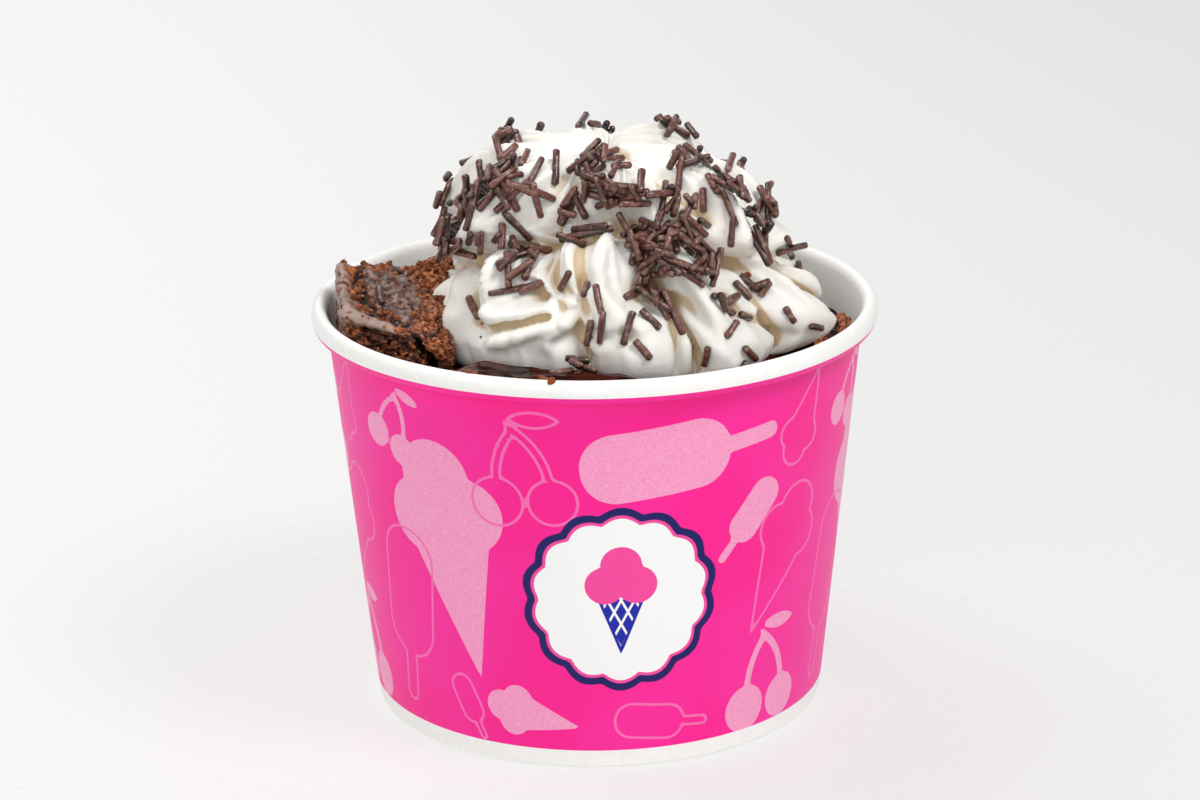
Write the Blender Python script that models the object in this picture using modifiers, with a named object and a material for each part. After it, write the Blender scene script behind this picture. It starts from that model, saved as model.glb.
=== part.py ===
"""Brownie sundae in a squat paper cup.

A paper cup with a rolled rim is filled with fudge. Three pieces of brownie are
pushed into the fudge, and a piped swirl of whipped cream with chocolate
sprinkles sits on top. The origin is the middle of the cup's foot, +Z is up and
the front is -Y. Sizes are in millimetres and angles in degrees, counted round
from the front, + towards +X.
"""

import math
import random

import bmesh
import bpy
import numpy as np
from mathutils import Matrix, Vector, noise
from mathutils.bvhtree import BVHTree

MM = 0.001
GAP = 0.35
MERGE = 0.00001
SLIVER = 0.00002

# Paper cup
CUP_HEIGHT = 84.0
RIM_DIAMETER = 115.0
ROLL_WIDTH = 3.3
ROLL_HEIGHT = 4.7
PAPER = 0.45
FOOT_RADIUS = 46.05
FOOT_HEIGHT = 3.8
FOOT_TOP_INSIDE = 46.0
HEM_WIDTH = 1.6
HEM_HEIGHT = 5.4
BASE_THICKNESS = 0.6
CUP_SEGMENTS = 48

# Fudge: a flat seat for the cream, higher at the front wall and lower at the back
FUDGE_SEAT = 76.0
FUDGE_BACK = 73.4
FUDGE_FRONT = 82.6
FUDGE_FRONT_AT = -12.0
FUDGE_FRONT_FADE = (46, 14)
FUDGE_BANK = (40.5, 47)
FUDGE_RIPPLE = 0.35

# Whipped cream: a dome whose wide skirt of folds lies under a cap of folds
CREAM_AXIS = (3.0, 1.0)
CREAM_WAIST = 81.0
CREAM_RADIUS = 34.9
CREAM_RISE = 34.8
CREAM_SQUARENESS = 2.6
SEAT_RADIUS = 35.0
SEAT_HEIGHT = 76.35
CREAM_SEGMENTS = 68
CREAM_RINGS = 20
RINGS_ABOVE_WAIST = 0.78

# The skirt: how far it flares between two heights, and where a brownie holds it back
FLARE = 5.2
FLARE_HEIGHTS = (96, 82)
SQUEEZE = 5.0
SQUEEZE_AT = -88.0
SQUEEZE_FADE = (62, 30)
SKIRT_CRESTS = (-104, -80, -60, -40, -6, 24, 68, 86, 106, 126, 150, 173, 196, 219, 238)
SKIRT_DEPTH_PER_DEGREE = 0.27
SKIRT_WIDEST = 28.0
SKIRT_DEPTH_HEIGHTS = (113, 100)
SKIRT_TWIST = 12.5
SKIRT_TWIST_FROM = 97.0
SKIRT_TWIST_OVER = 17.0
SKIRT_LEAN = 2.4

# The skirt's bottom: lifted by fudge at the front, calm at the front left, long petals at the right
LIFT = 2.8
LIFT_AT = -12.0
LIFT_FADE = (46, 20)
CALM = 0.65
CALM_AT = -28.0
CALM_FADE = (24, 14)
CALM_HEIGHTS = (93, 88)
PETAL = 2.5
PETAL_AT = 72.0
PETAL_FADE = (26, 8)
PETAL_HEIGHTS = (90, 80)

# The cap: its folds, its narrower right shoulder, and the ledge where it overhangs the skirt
CAP_CRESTS = (-84, -36, 11, 70, 112, 150, 192, 233)
CAP_DEPTH = 3.5
CAP_DEPTH_PER_DEGREE = 0.075
CAP_TWIST_PER_MM = 1.3
CAP_TWIST_FROM = 114.0
CAP_LEAN = 1.6
SHOULDER = 2.8
SHOULDER_AT = 82.0
SHOULDER_FADE = (72, 20)
SHOULDER_HEIGHTS = (92, 101)
LEDGE_LOW = 90.0
LEDGE_ARCH = 20.0
TUCK = 3.6
TUCK_BELOW = 2.2
TUCK_WIDTH = 2.4
LIP = 1.3
LIP_ABOVE = 2.4
LIP_WIDTH = 3.0

# Lines on the swirl, each through (angle, height), with its rise, half width and sharpness
CREAM_LINES = (
    (((-38, 106), (-22, 108), (-8, 107)), -4.2, 4.4, 2),
    (((-10, 104), (-9, 100), (-7, 95)), -3.6, 2.2, 2),
    (((-1, 109), (-3, 98), (-2, 94), (3, 89.5), (9, 86.5)), 2.6, 1.5, 1.3),
    (((3, 110), (20, 106), (40, 100)), -3.0, 3.6, 2),
    (((-43, 80), (-35, 80.8), (-28, 83), (-21, 85.5), (-13, 87.5)), 3.0, 1.4, 1.3),
    (((-40, 87.5), (-33, 87), (-28, 87.5), (-21, 89.5)), 2.2, 1.4, 1.3),
    (((-33, 83.8), (-27, 85.6), (-21, 87.4)), -2.2, 1.2, 2),
    (((-28, 96), (-24, 93.5), (-20, 92), (-12, 91)), 2.2, 1.4, 1.3),
    (((-13, 87), (-17, 84.5), (-17, 82.5), (-13, 80)), 2.0, 1.3, 1.3),
    (((-8, 85), (-2, 84.6), (5, 84.8)), -2.0, 2.2, 2),
    (((20, 91), (19, 86), (20, 80)), -3.2, 1.4, 2),
    (((41, 88.4), (50, 84.8), (58, 81)), -1.8, 2.0, 2),
    (((42, 113), (48, 108), (50, 102)), -2.2, 3.4, 2),
    (((-105, 98), (-66, 99)), -2.0, 7.0, 2),
    (((-100, 89), (-70, 90)), -3.2, 4.5, 2),
)

# Sprinkles
SPRINKLE_RADIUS = 0.75
SPRINKLE_TYPICAL = 5.6
SPRINKLE_SHORTEST = 2.2
SPRINKLE_LONGEST = 11.5
SPRINKLE_SINK = 0.30
SPRINKLES_KEPT = 100
SPRINKLE_SEED = 11
SPRINKLE_AIM = (3.0, 1.0, 78.0)

# Where the sprinkles fell: angle, elevation, spread in mm and how many
SPRINKLE_HEAPS = (
    (-74, 60, 3.2, 9), (-87, 43, 2.8, 7), (-50, 49, 3.0, 25), (-40, 55, 2.2, 5), (-9, 72, 1.2, 8),
    (-8, 63, 1.4, 7), (80, 84, 2.4, 2), (-20, 55, 1.8, 7), (0, 57, 2.0, 6), (7, 53, 2.0, 8),
    (-9, 43, 1.6, 4), (-96, 31, 2.0, 4), (-64, 32, 2.6, 20), (-51, 36, 2.6, 21), (-52, 28, 2.0, 6),
    (-36, 38, 2.6, 14), (-31, 31, 2.2, 8), (-14, 29, 1.4, 3), (-70, 22, 1.2, 3), (95, 66, 2.2, 3),
    (64, 60, 2.4, 6), (59, 51, 2.4, 7), (62, 43, 2.2, 4), (88, 38, 2.6, 6), (58, 33, 2.4, 8),
    (78, 26, 1.8, 5), (25, 53, 2.2, 8), (37, 48, 2.2, 10), (19, 46, 2.6, 20), (38, 41, 2.4, 18),
    (10, 40, 2.2, 14), (24, 39, 2.4, 20), (15, 33, 2.4, 17), (16, 28, 2.2, 12), (30, 29, 2.6, 12),
    (13, 22, 1.6, 4), (18, 18, 1.6, 3), (34, 20, 1.0, 2), (58, 20, 2.0, 3), (110, 8, 2.6, 6),
    (108, 44, 8.0, 12), (146, 56, 9.0, 14), (186, 42, 10.0, 14), (226, 52, 9.0, 14), (262, 40, 8.0, 10),
)

# Sprinkles that lie alone: angle, elevation, turn from level and length
STRAY_SPRINKLES = (
    (-34, 63, 71, 7.6), (-41, 59, 97, 7.0), (7, 64, 127, 4.2), (-27, 49, 103, 5.6), (-13, 53, 107, 5.0),
    (-4, 50, 105, 5.6), (-16, 42, 90, 6.9), (-33, 24, 10, 9.2), (-29, 26, 14, 5.2), (-47, 21, 45, 5.6),
    (-51, 16, 125, 5.4), (-10, 17, 145, 5.8), (-6, 21, 2, 5.2), (-7, 26, 140, 3.6), (-3, 23, 110, 6.2),
    (-5, 15, 85, 5.2), (-2, 16, 80, 7.0), (5, 16, 78, 6.9), (9, 26, 4, 8.5), (11, 17, 88, 5.3),
    (16, 21, 123, 7.7), (18, 14, 97, 6.0), (8, 10, 129, 4.8), (27, 6, 66, 5.0), (38, 5, 137, 5.1),
    (35, 2, 38, 3.6), (54, 62, 96, 7.0), (51, 55, 50, 8.8), (56, 44, 110, 8.0), (51, 37, 88, 6.4),
    (34, 12, 35, 4.6), (38, 16, 135, 5.4), (46, 13, 157, 4.3), (44, 19, 27, 5.0), (52, 20, 90, 4.8),
    (59, 21, 139, 6.0), (59, 17, 30, 3.6), (60, 10, 115, 3.8), (67, 5, 155, 4.4),
)

# Sprinkles that fell on the fudge at the front: x, y, turn and length
FUDGE_SPRINKLES = (
    (-6.4, -46.0, 20, 4.6), (-3.4, -46.6, 75, 4.0), (-1.2, -46.2, 130, 4.4), (-3.6, -44.4, 5, 4.8),
)

# The sprinkle on the left brownie: x, y, turn and length
BROWNIE_SPRINKLE = (-42.8, -8.6, -58, 7.2)

# Brownies: the top's corners (x, y, z) in order round, then the height of the bottom
BROWNIE_LEFT = (((-53.0, 6.0, 91.8), (-50.8, -17.8, 85.4), (-27.2, -29.0, 82.2), (-28.8, 6.4, 89.6)), 71.5)
BROWNIE_TUCKED = (((-36.0, 8.2, 89.6), (-27.0, 7.0, 90.2), (-24.5, 20.0, 88.0), (-36.0, 22.0, 86.5)), 72.5)
BROWNIE_RIGHT = (((43.6, 3.0, 79.6), (43.0, -16.5, 78.6), (50.2, -13.2, 79.2), (52.6, 1.0, 80.6)), 71.5)
BROWNIE_ROUND = 2.6
BROWNIE_CRAG = 1.1

PARTS = "brownie_sundae"
CUTTERS = "cutters"


def linear(hex_colour):
    """An sRGB hex colour as linear RGBA."""
    values = [int(hex_colour[i:i + 2], 16) / 255 for i in (1, 3, 5)]
    return [v / 12.92 if v <= 0.04045 else ((v + 0.055) / 1.055) ** 2.4 for v in values] + [1.0]


def material(name, colour, roughness, metallic=0.0):
    made = bpy.data.materials.new(name)
    made.use_nodes = True
    shader = made.node_tree.nodes["Principled BSDF"]
    shader.inputs["Base Color"].default_value = linear(colour)
    shader.inputs["Roughness"].default_value = roughness
    shader.inputs["Metallic"].default_value = metallic
    return made


def collection(name):
    made = bpy.data.collections.new(name)
    bpy.context.scene.collection.children.link(made)
    return made


def put(name, mesh, where):
    """An object for the mesh, in the collection where."""
    thing = bpy.data.objects.new(name, mesh)
    where.objects.link(thing)
    return thing


def mesh_from(bm, name):
    bmesh.ops.recalc_face_normals(bm, faces=bm.faces)
    mesh = bpy.data.meshes.new(name)
    bm.to_mesh(mesh)
    bm.free()
    return mesh


def evaluated(thing):
    """A mesh of the object with its modifiers applied."""
    bpy.context.view_layer.update()
    return bpy.data.meshes.new_from_object(thing.evaluated_get(bpy.context.evaluated_depsgraph_get()))


def settle(thing):
    """Apply the object's modifiers to its own mesh."""
    mesh = evaluated(thing)
    thing.modifiers.clear()
    thing.data = mesh


def turned(name, profile, where):
    """A solid turned about Z from (radius, height) points, closed by the axis or by its first point."""
    bm = bmesh.new()
    points = [bm.verts.new((r * MM, 0, z * MM)) for r, z in profile]
    if profile[0][0] > 0:
        points.append(points[0])
    for a, b in zip(points, points[1:]):
        bm.edges.new((a, b))
    mesh = bpy.data.meshes.new(name)
    bm.to_mesh(mesh)
    bm.free()
    thing = put(name, mesh, where)
    screw = thing.modifiers.new("turn", "SCREW")
    screw.steps = CUP_SEGMENTS
    screw.render_steps = CUP_SEGMENTS
    screw.use_merge_vertices = True
    screw.merge_threshold = MERGE
    return thing


def smooth(x, low, high):
    """0 below low, 1 above high, an easy curve between."""
    t = np.clip((x - low) / (high - low), 0, 1)
    return t * t * (3 - 2 * t)


def inside_radius(z):
    """Inner radius of the cup's wall at height z."""
    top = RIM_DIAMETER / 2 - ROLL_WIDTH
    roll_middle = CUP_HEIGHT - ROLL_HEIGHT / 2
    slope = (top - FOOT_TOP_INSIDE) / (roll_middle - FOOT_HEIGHT)
    return FOOT_TOP_INSIDE + (z - FOOT_HEIGHT) * slope


def free_radius(z):
    """Largest radius that stays clear of the faceted wall at height z."""
    return inside_radius(z) * math.cos(math.pi / CUP_SEGMENTS) - GAP


def cup_wall(where):
    """Rolled rim, tapered wall and the hem folded in at the foot, one sheet of paper."""
    across = RIM_DIAMETER / 2 - ROLL_WIDTH / 2
    middle = CUP_HEIGHT - ROLL_HEIGHT / 2
    outer_steps = 8
    inner_steps = 3
    leaves_roll = -150
    profile = []
    for i in range(outer_steps + 1):
        k = math.radians(90 + (leaves_roll - 90) * i / outer_steps)
        profile.append((across + ROLL_WIDTH / 2 * math.cos(k), middle + ROLL_HEIGHT / 2 * math.sin(k)))
    profile.append((FOOT_TOP_INSIDE + PAPER, FOOT_HEIGHT))
    profile.append((FOOT_RADIUS, 0))
    profile.append((FOOT_RADIUS - HEM_WIDTH, 0))
    profile.append((inside_radius(HEM_HEIGHT) - HEM_WIDTH + PAPER, HEM_HEIGHT))
    profile.append((inside_radius(HEM_HEIGHT), HEM_HEIGHT))
    for i in range(inner_steps):
        k = math.radians(180 - 90 * i / inner_steps)
        profile.append((across + ROLL_WIDTH / 2 * math.cos(k), middle + ROLL_HEIGHT / 2 * math.sin(k)))
    wall = turned("cup_wall", profile, where)
    wall.data.materials.append(material("pink_coated_paper", "#F2359F", 0.35))
    return wall


def cup_base(where):
    """The paper disc that closes the cup above its foot."""
    low = HEM_HEIGHT + 0.3
    high = low + BASE_THICKNESS
    edge = free_radius(low)
    base = turned("cup_base", [(0, high), (edge, high), (edge, low), (0, low)], where)
    base.data.materials.append(material("white_paper", "#F4F3EF", 0.6))
    return base


def fudge_height(x, y):
    """The fudge's top at (x, y): flat under the cream, then up to the wall."""
    from_cream = math.hypot(x - CREAM_AXIS[0], y - CREAM_AXIS[1])
    angle = math.degrees(math.atan2(x, -y))
    frontness = float(smooth(abs(angle - FUDGE_FRONT_AT), *FUDGE_FRONT_FADE))
    edge = FUDGE_BACK + (FUDGE_FRONT - FUDGE_BACK) * frontness
    rise = float(smooth(from_cream, *FUDGE_BANK))
    ripple = FUDGE_RIPPLE * math.sin(from_cream * 0.9 + angle * 0.12) * rise * frontness
    return FUDGE_SEAT + (edge - FUDGE_SEAT) * rise + ripple


def hot_fudge(where):
    """The filling: solid down to the cup's base, because nothing below its top shows."""
    low = HEM_HEIGHT + 0.3 + BASE_THICKNESS + GAP
    top_edge = free_radius(FUDGE_FRONT)
    rings = [0, 38, 41, 44, 47, 50, top_edge]
    profile = [(r, FUDGE_SEAT) for r in rings] + [(free_radius(low), low), (0, low)]
    fudge = turned("hot_fudge", profile, where)
    settle(fudge)
    for vertex in fudge.data.vertices:
        if vertex.co.z > (FUDGE_SEAT - 1) * MM:
            x = vertex.co.x / MM
            y = vertex.co.y / MM
            vertex.co.z = fudge_height(x, y) * MM
            if math.hypot(x, y) > top_edge - 1:
                shrink = free_radius(vertex.co.z / MM) / top_edge
                vertex.co.x *= shrink
                vertex.co.y *= shrink
    fudge.data.materials.append(material("hot_fudge", "#3A1710", 0.2))
    return fudge


def chunk_mesh(name, corners, bottom, grow, crag, seed):
    """A rounded block fitted to its four top corners, with pits cut inwards."""
    top = [Vector(c) for c in corners]
    size = Vector(((top[3] - top[0]).length, (top[1] - top[0]).length, top[0].z - bottom))
    half = size / 2 + Vector((grow, grow, grow))
    bm = bmesh.new()
    bmesh.ops.create_cube(bm, size=2)
    bmesh.ops.subdivide_edges(bm, edges=bm.edges, cuts=5, use_grid_fill=True)
    for vertex in bm.verts:
        point = Vector((vertex.co.x * half.x, vertex.co.y * half.y, vertex.co.z * half.z))
        core = Vector([max(-h + BROWNIE_ROUND, min(h - BROWNIE_ROUND, c)) for c, h in zip(point, half)])
        out = (point - core).normalized()
        point = core + out * BROWNIE_ROUND
        pit = 0.5 + 0.5 * noise.noise(point * 0.42 + Vector((seed, 0, 0)))
        pit = pit + 0.35 * noise.noise(point * 0.9 + Vector((0, seed, 0)))
        point = point - out * crag * max(0.0, pit)
        u = point.x / size.x + 0.5
        v = 0.5 - point.y / size.y
        upper = (top[0] * (1 - v) + top[1] * v) * (1 - u) + (top[3] * (1 - v) + top[2] * v) * u
        w = point.z / size.z + 0.5
        vertex.co = Vector((upper.x, upper.y, bottom + (upper.z - bottom) * w)) * MM
    return mesh_from(bm, name)


def brownie(name, block, seed, where):
    chunk = put(name, chunk_mesh(name, *block, 0, BROWNIE_CRAG, seed), where)
    chunk.data.materials.append(material(name, "#5A2A17", 0.55))
    return chunk


def brownie_cutter(name, block, where):
    """The brownie's block grown by the gap, to cut what it is pushed into."""
    cutter = put(name, chunk_mesh(name, *block, GAP + 0.1, 0, 0), where)
    cutter.hide_render = True
    cutter.display_type = "WIRE"
    return cutter


def cut(thing, cutter):
    boolean = thing.modifiers.new("cut_" + cutter.name, "BOOLEAN")
    boolean.operation = "DIFFERENCE"
    boolean.object = cutter


def wander(angle, height, seed, turns, rise):
    """Smooth noise round the swirl, -1 to 1; angle in radians."""
    values = np.empty(angle.size)
    for i, (a, h) in enumerate(zip(angle.ravel(), height.ravel())):
        place = Vector((turns * math.cos(a) + seed * 7.3, turns * math.sin(a) - seed * 3.1, rise * h))
        values[i] = noise.noise(place)
    return values.reshape(angle.shape)


def between(angle, crests):
    """How far each angle lies between its two crests (0 to 1), and their distance."""
    ring = np.array(crests + (crests[0] + 360,), float)
    turned_angle = (angle - ring[0]) % 360 + ring[0]
    k = np.clip(np.searchsorted(ring, turned_angle, side="right") - 1, 0, len(crests) - 1)
    distance = ring[k + 1] - ring[k]
    return (turned_angle - ring[k]) / distance, distance


def skewed(part, skew):
    """Move the crease from half way between two crests to the share skew."""
    return np.where(part < skew, part / skew * 0.5, 0.5 + (part - skew) / (1 - skew) * 0.5)


def round_fold(part, skew):
    """1 on a crest, 0 in a sharp crease."""
    return np.abs(np.cos(math.pi * skewed(part, skew))) ** 0.72


def sharp_fold(part, skew):
    """1 on a sharp crest, 0 in a round hollow."""
    return 1 - np.sqrt(np.sin(math.pi * skewed(part, skew)) ** 2 + 0.008)


def near(angle, middle, fade):
    """1 near the angle middle, 0 further off, between the two distances of fade."""
    return smooth(np.abs(angle - middle), *fade)


def bump(height, middle, width):
    return np.exp(-((height - middle) / width) ** 2)


def line_weight(angle, height, radius, points, width, sharpness):
    """1 on a line through (angle, height) points, fading over width."""
    nearest = np.full(angle.shape, 1e9)
    for (a0, h0), (a1, h1) in zip(points, points[1:]):
        along = np.radians(a1 - a0) * radius
        up = h1 - h0
        x = np.radians(angle - a0) * radius
        y = height - h0
        share = np.clip((x * along + y * up) / (along * along + up * up), 0, 1)
        nearest = np.minimum(nearest, np.hypot(x - share * along, y - share * up))
    return np.exp(-(nearest / width) ** sharpness)


def skirt_folds(angle, height, slow, middle):
    """How far the skirt's folds stand out, and their crests, 0 to 1."""
    twist = SKIRT_TWIST * (np.maximum(SKIRT_TWIST_FROM - height, 0) / SKIRT_TWIST_OVER) ** 1.5
    part, distance = between(angle - twist + 9 * slow + 5 * middle, SKIRT_CRESTS)
    rounder = smooth(height, 93, 82)
    crest = rounder * round_fold(part, 0.58) + (1 - rounder) * sharp_fold(part, 0.6)
    calm = 1 - CALM * near(angle, CALM_AT, CALM_FADE) * smooth(height, *CALM_HEIGHTS)
    widest = np.minimum(distance, SKIRT_WIDEST)
    depth = SKIRT_DEPTH_PER_DEGREE * widest * smooth(height, *SKIRT_DEPTH_HEIGHTS) * calm
    return depth * (crest - 0.5), crest


def cap_folds(angle, height, polar, slow, middle):
    """How far the cap's folds stand out, and their crests, 0 to 1."""
    twist = -CAP_TWIST_PER_MM * np.maximum(CAP_TWIST_FROM - height, 0)
    part, distance = between(angle - twist + 12 * slow + 6 * middle, CAP_CRESTS)
    crest = 0.45 * round_fold(part, 0.5) + 0.55 * sharp_fold(part, 0.5)
    depth = (CAP_DEPTH + CAP_DEPTH_PER_DEGREE * distance) * smooth(polar, 7, 43)
    return depth * (crest - 0.42), crest


def dome(polar, flare):
    """The plain dome under the folds: radius, height and the way out of its surface."""
    upper = np.radians(np.clip(polar, 0, 90))
    s = np.sin(upper) ** (2 / CREAM_SQUARENESS)
    c = np.cos(upper) ** (2 / CREAM_SQUARENESS)
    height = CREAM_WAIST + CREAM_RISE * c
    radius = CREAM_RADIUS * s + flare * smooth(height, *FLARE_HEIGHTS)
    out = s ** (CREAM_SQUARENESS - 1) / CREAM_RADIUS
    up = c ** (CREAM_SQUARENESS - 1) / CREAM_RISE
    length = np.hypot(out, up) + 1e-9
    return radius, height, out / length, up / length


def cream_surface(angle, polar):
    """Points of the swirl; polar runs 0 at the crown, 90 at the waist, 180 under the middle."""
    theta = np.radians(angle)
    lifted = LIFT * near(angle, LIFT_AT, LIFT_FADE)
    flare = FLARE - SQUEEZE * near(angle, SQUEEZE_AT, SQUEEZE_FADE)
    radius, height, out, up = dome(polar, flare)
    slow = wander(theta, height, 1.0, 1.1, 0.03)
    middle = wander(theta, height, 5.0, 2.4, 0.06)
    quick = wander(theta, height, 9.0, 5.0, 0.12)
    ledge = LEDGE_LOW + LEDGE_ARCH * ((1 + np.cos(theta)) / 2) ** 3 + 2.0 * middle
    above = smooth(height, ledge - 0.9, ledge + 0.9)
    skirt_rise, skirt_crest = skirt_folds(angle, height, slow, middle)
    cap_rise, cap_crest = cap_folds(angle, height, polar, slow, middle)
    rise = (1 - above) * skirt_rise + above * cap_rise + quick
    lip = LIP * bump(height, ledge + LIP_ABOVE, LIP_WIDTH)
    tuck = TUCK * bump(height, ledge - TUCK_BELOW, TUCK_WIDTH)
    rise = rise + (lip - tuck) * smooth(polar, 11, 34)
    for points, line_rise, width, sharpness in CREAM_LINES:
        rise = rise + line_rise * line_weight(angle, height, radius, points, width, sharpness)
    rise = rise + PETAL * smooth(height, *PETAL_HEIGHTS) * near(angle, PETAL_AT, PETAL_FADE)
    rise = rise - SHOULDER * smooth(height, *SHOULDER_HEIGHTS) * near(angle, SHOULDER_AT, SHOULDER_FADE)
    lean = (1 - above) * SKIRT_LEAN * (skirt_crest - 0.5) + above * CAP_LEAN * (cap_crest - 0.5)
    radius = radius + rise * out
    height = height + rise * up + lifted * smooth(polar, 60, 90)
    theta = theta - lean * smooth(polar, 6, 29) / np.maximum(radius, 6)
    # under the waist the surface curls in to a flat seat
    curl = np.clip((polar - 90) / 54, 0, 1) * math.pi / 2
    inward = np.clip((polar - 144) / 36, 0, 1)
    curled = (SEAT_RADIUS + (radius - SEAT_RADIUS) * np.cos(curl) ** 0.8) * (1 - inward)
    waist = CREAM_WAIST + lifted
    radius = np.where(polar > 90, curled, radius)
    height = np.where(polar > 90, waist + (SEAT_HEIGHT - waist) * np.sin(curl), height)
    x = CREAM_AXIS[0] + radius * np.sin(theta)
    y = CREAM_AXIS[1] - radius * np.cos(theta)
    return np.stack([x, y, height], -1)


def cream_mesh(name):
    """A ball whose every point is moved to the swirl's surface."""
    bm = bmesh.new()
    bmesh.ops.create_uvsphere(bm, u_segments=CREAM_SEGMENTS, v_segments=CREAM_RINGS, radius=1)
    ball = np.array([v.co for v in bm.verts])
    angle = np.degrees(np.arctan2(ball[:, 0], -ball[:, 1]))
    ring = np.degrees(np.arccos(np.clip(ball[:, 2], -1, 1))) / 180
    waist = RINGS_ABOVE_WAIST
    polar = np.where(ring < waist, 90 * ring / waist, 90 + 90 * (ring - waist) / (1 - waist))
    for vertex, point in zip(bm.verts, cream_surface(angle, polar)):
        vertex.co = Vector(point) * MM
    bmesh.ops.triangulate(bm, faces=bm.faces)
    return mesh_from(bm, name)


def sprinkle_plan():
    """Where each sprinkle fell, from its heap: angle, elevation, turn and length."""
    draw = random.Random(SPRINKLE_SEED)
    plan = []
    for angle, elevation, spread, count in SPRINKLE_HEAPS:
        for _ in range(count):
            away = spread * abs(draw.gauss(0, 0.75))
            way = draw.uniform(0, 2 * math.pi)
            reach = 40 * max(0.25, math.cos(math.radians(elevation)))
            place = angle + math.degrees(away * math.cos(way) / reach)
            lift = elevation + math.degrees(away * math.sin(way) / 40)
            length = SPRINKLE_TYPICAL * math.exp(0.36 * draw.gauss(0, 1))
            length = min(SPRINKLE_LONGEST, max(SPRINKLE_SHORTEST, length))
            plan.append((place, min(lift, 88), draw.uniform(0, 180), length))
    return list(STRAY_SPRINKLES) + sorted(plan, key=lambda item: -item[3])


def land(tree, angle, elevation):
    """The point and normal where a sprinkle lands on the cream."""
    a = math.radians(angle)
    e = math.radians(elevation)
    way = Vector((math.sin(a) * math.cos(e), -math.cos(a) * math.cos(e), math.sin(e)))
    start = (Vector(SPRINKLE_AIM) + way * 80) * MM
    point, normal, _, _ = tree.ray_cast(start, -way)
    return point, normal


def level_way(normal, turn):
    """The direction on the surface that is turned from level by the angle."""
    level = Vector((0, 0, 1)).cross(normal).normalized()
    return Matrix.Rotation(math.radians(turn), 3, normal) @ level


def rod_mesh(middle, axis, length):
    """A six-sided sprinkle."""
    turn = Vector((0, 0, 1)).rotation_difference(axis).to_matrix().to_4x4()
    bm = bmesh.new()
    bmesh.ops.create_cone(
        bm, cap_ends=True, segments=6, radius1=SPRINKLE_RADIUS * MM, radius2=SPRINKLE_RADIUS * MM,
        depth=length * MM, matrix=Matrix.Translation(middle) @ turn)
    return mesh_from(bm, "sprinkle")


def lay(tree, start, way, length):
    """Lay a sprinkle on the surface at start, along way: its middle and axis."""
    point, normal, _, _ = tree.find_nearest(start)
    way = (way - normal * way.dot(normal)).normalized()
    ends = []
    for side in (-1, 1):
        probe = point + way * side * length / 2 * MM
        ends.append(tree.find_nearest(probe)[0])
    axis = (ends[1] - ends[0]).normalized()
    middle = (ends[0] + ends[1]) / 2
    hump = max(0, (point - middle).dot(normal))
    lift = hump + (SPRINKLE_RADIUS - SPRINKLE_SINK) * MM
    return middle + normal * lift, axis


def clear(middle, axis, length, others, margin):
    """Whether a sprinkle stays clear of the other pieces."""
    for step in (-0.5, -0.25, 0, 0.25, 0.5):
        spot = middle + axis * step * length * MM
        for tree in others:
            away = tree.find_nearest(spot)[3]
            if away < margin * MM:
                return False
    return True


def tree_of(mesh):
    bm = bmesh.new()
    bm.from_mesh(mesh)
    tree = BVHTree.FromBMesh(bm)
    bm.free()
    return tree


def largest_body(thing):
    """Keep the object's largest connected body, with its outside only."""
    bm = bmesh.new()
    bm.from_mesh(thing.data)
    bmesh.ops.triangulate(bm, faces=bm.faces)
    bmesh.ops.dissolve_degenerate(bm, edges=bm.edges, dist=SLIVER)
    bmesh.ops.triangulate(bm, faces=bm.faces)
    bodies = []
    left = set(bm.faces)
    while left:
        group = {left.pop()}
        edge = list(group)
        while edge:
            face = edge.pop()
            for side in face.edges:
                for other in side.link_faces:
                    if other in left and len(side.link_faces) == 2:
                        left.discard(other)
                        group.add(other)
                        edge.append(other)
        bodies.append(group)
    keep = max(bodies, key=len)
    drop = [f for f in bm.faces if f not in keep]
    bmesh.ops.delete(bm, geom=drop, context="FACES")
    bm.to_mesh(thing.data)
    bm.free()


def fuse(thing, rods, solver="EXACT"):
    """Join the sprinkles to what they lie on, as one closed body."""
    heap = collection(thing.name + "_sprinkles")
    for i, (middle, axis, length) in enumerate(rods):
        put(thing.name + "_sprinkle_" + str(i), rod_mesh(middle, axis, length), heap)
    union = thing.modifiers.new("sprinkles", "BOOLEAN")
    union.operation = "UNION"
    union.operand_type = "COLLECTION"
    union.collection = heap
    union.solver = solver
    settle(thing)
    for loose in list(heap.objects):
        bpy.data.objects.remove(loose)
    bpy.data.collections.remove(heap)
    largest_body(thing)


def whipped_cream(where, cutters, others):
    """The swirl, pressed in by the brownies, with its sprinkles."""
    cream = put("whipped_cream", cream_mesh("whipped_cream"), where)
    cream.data.materials.append(material("whipped_cream", "#F6F1E6", 0.45))
    for cutter in cutters:
        cut(cream, cutter)
    settle(cream)
    largest_body(cream)
    tree = tree_of(cream.data)
    rods = []
    for angle, elevation, turn, length in sprinkle_plan():
        point, normal = land(tree, angle, elevation)
        middle, axis = lay(tree, point, level_way(normal, turn), length)
        taken = any((middle - m).length < SPRINKLE_RADIUS * 3.2 * MM for m, _, _ in rods)
        if taken or not clear(middle, axis, length, others, SPRINKLE_RADIUS + 2 * GAP):
            continue
        rods.append((middle, axis, length))
        if len(rods) == SPRINKLES_KEPT:
            break
    fuse(cream, rods, "MANIFOLD")


def fallen(tree, x, y, turn, length):
    """A sprinkle dropped straight down at (x, y)."""
    point, _, _, _ = tree.ray_cast(Vector((x, y, 150)) * MM, Vector((0, 0, -1)))
    way = Vector((math.cos(math.radians(turn)), math.sin(math.radians(turn)), 0))
    middle, axis = lay(tree, point, way, length)
    return middle, axis, length


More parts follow.
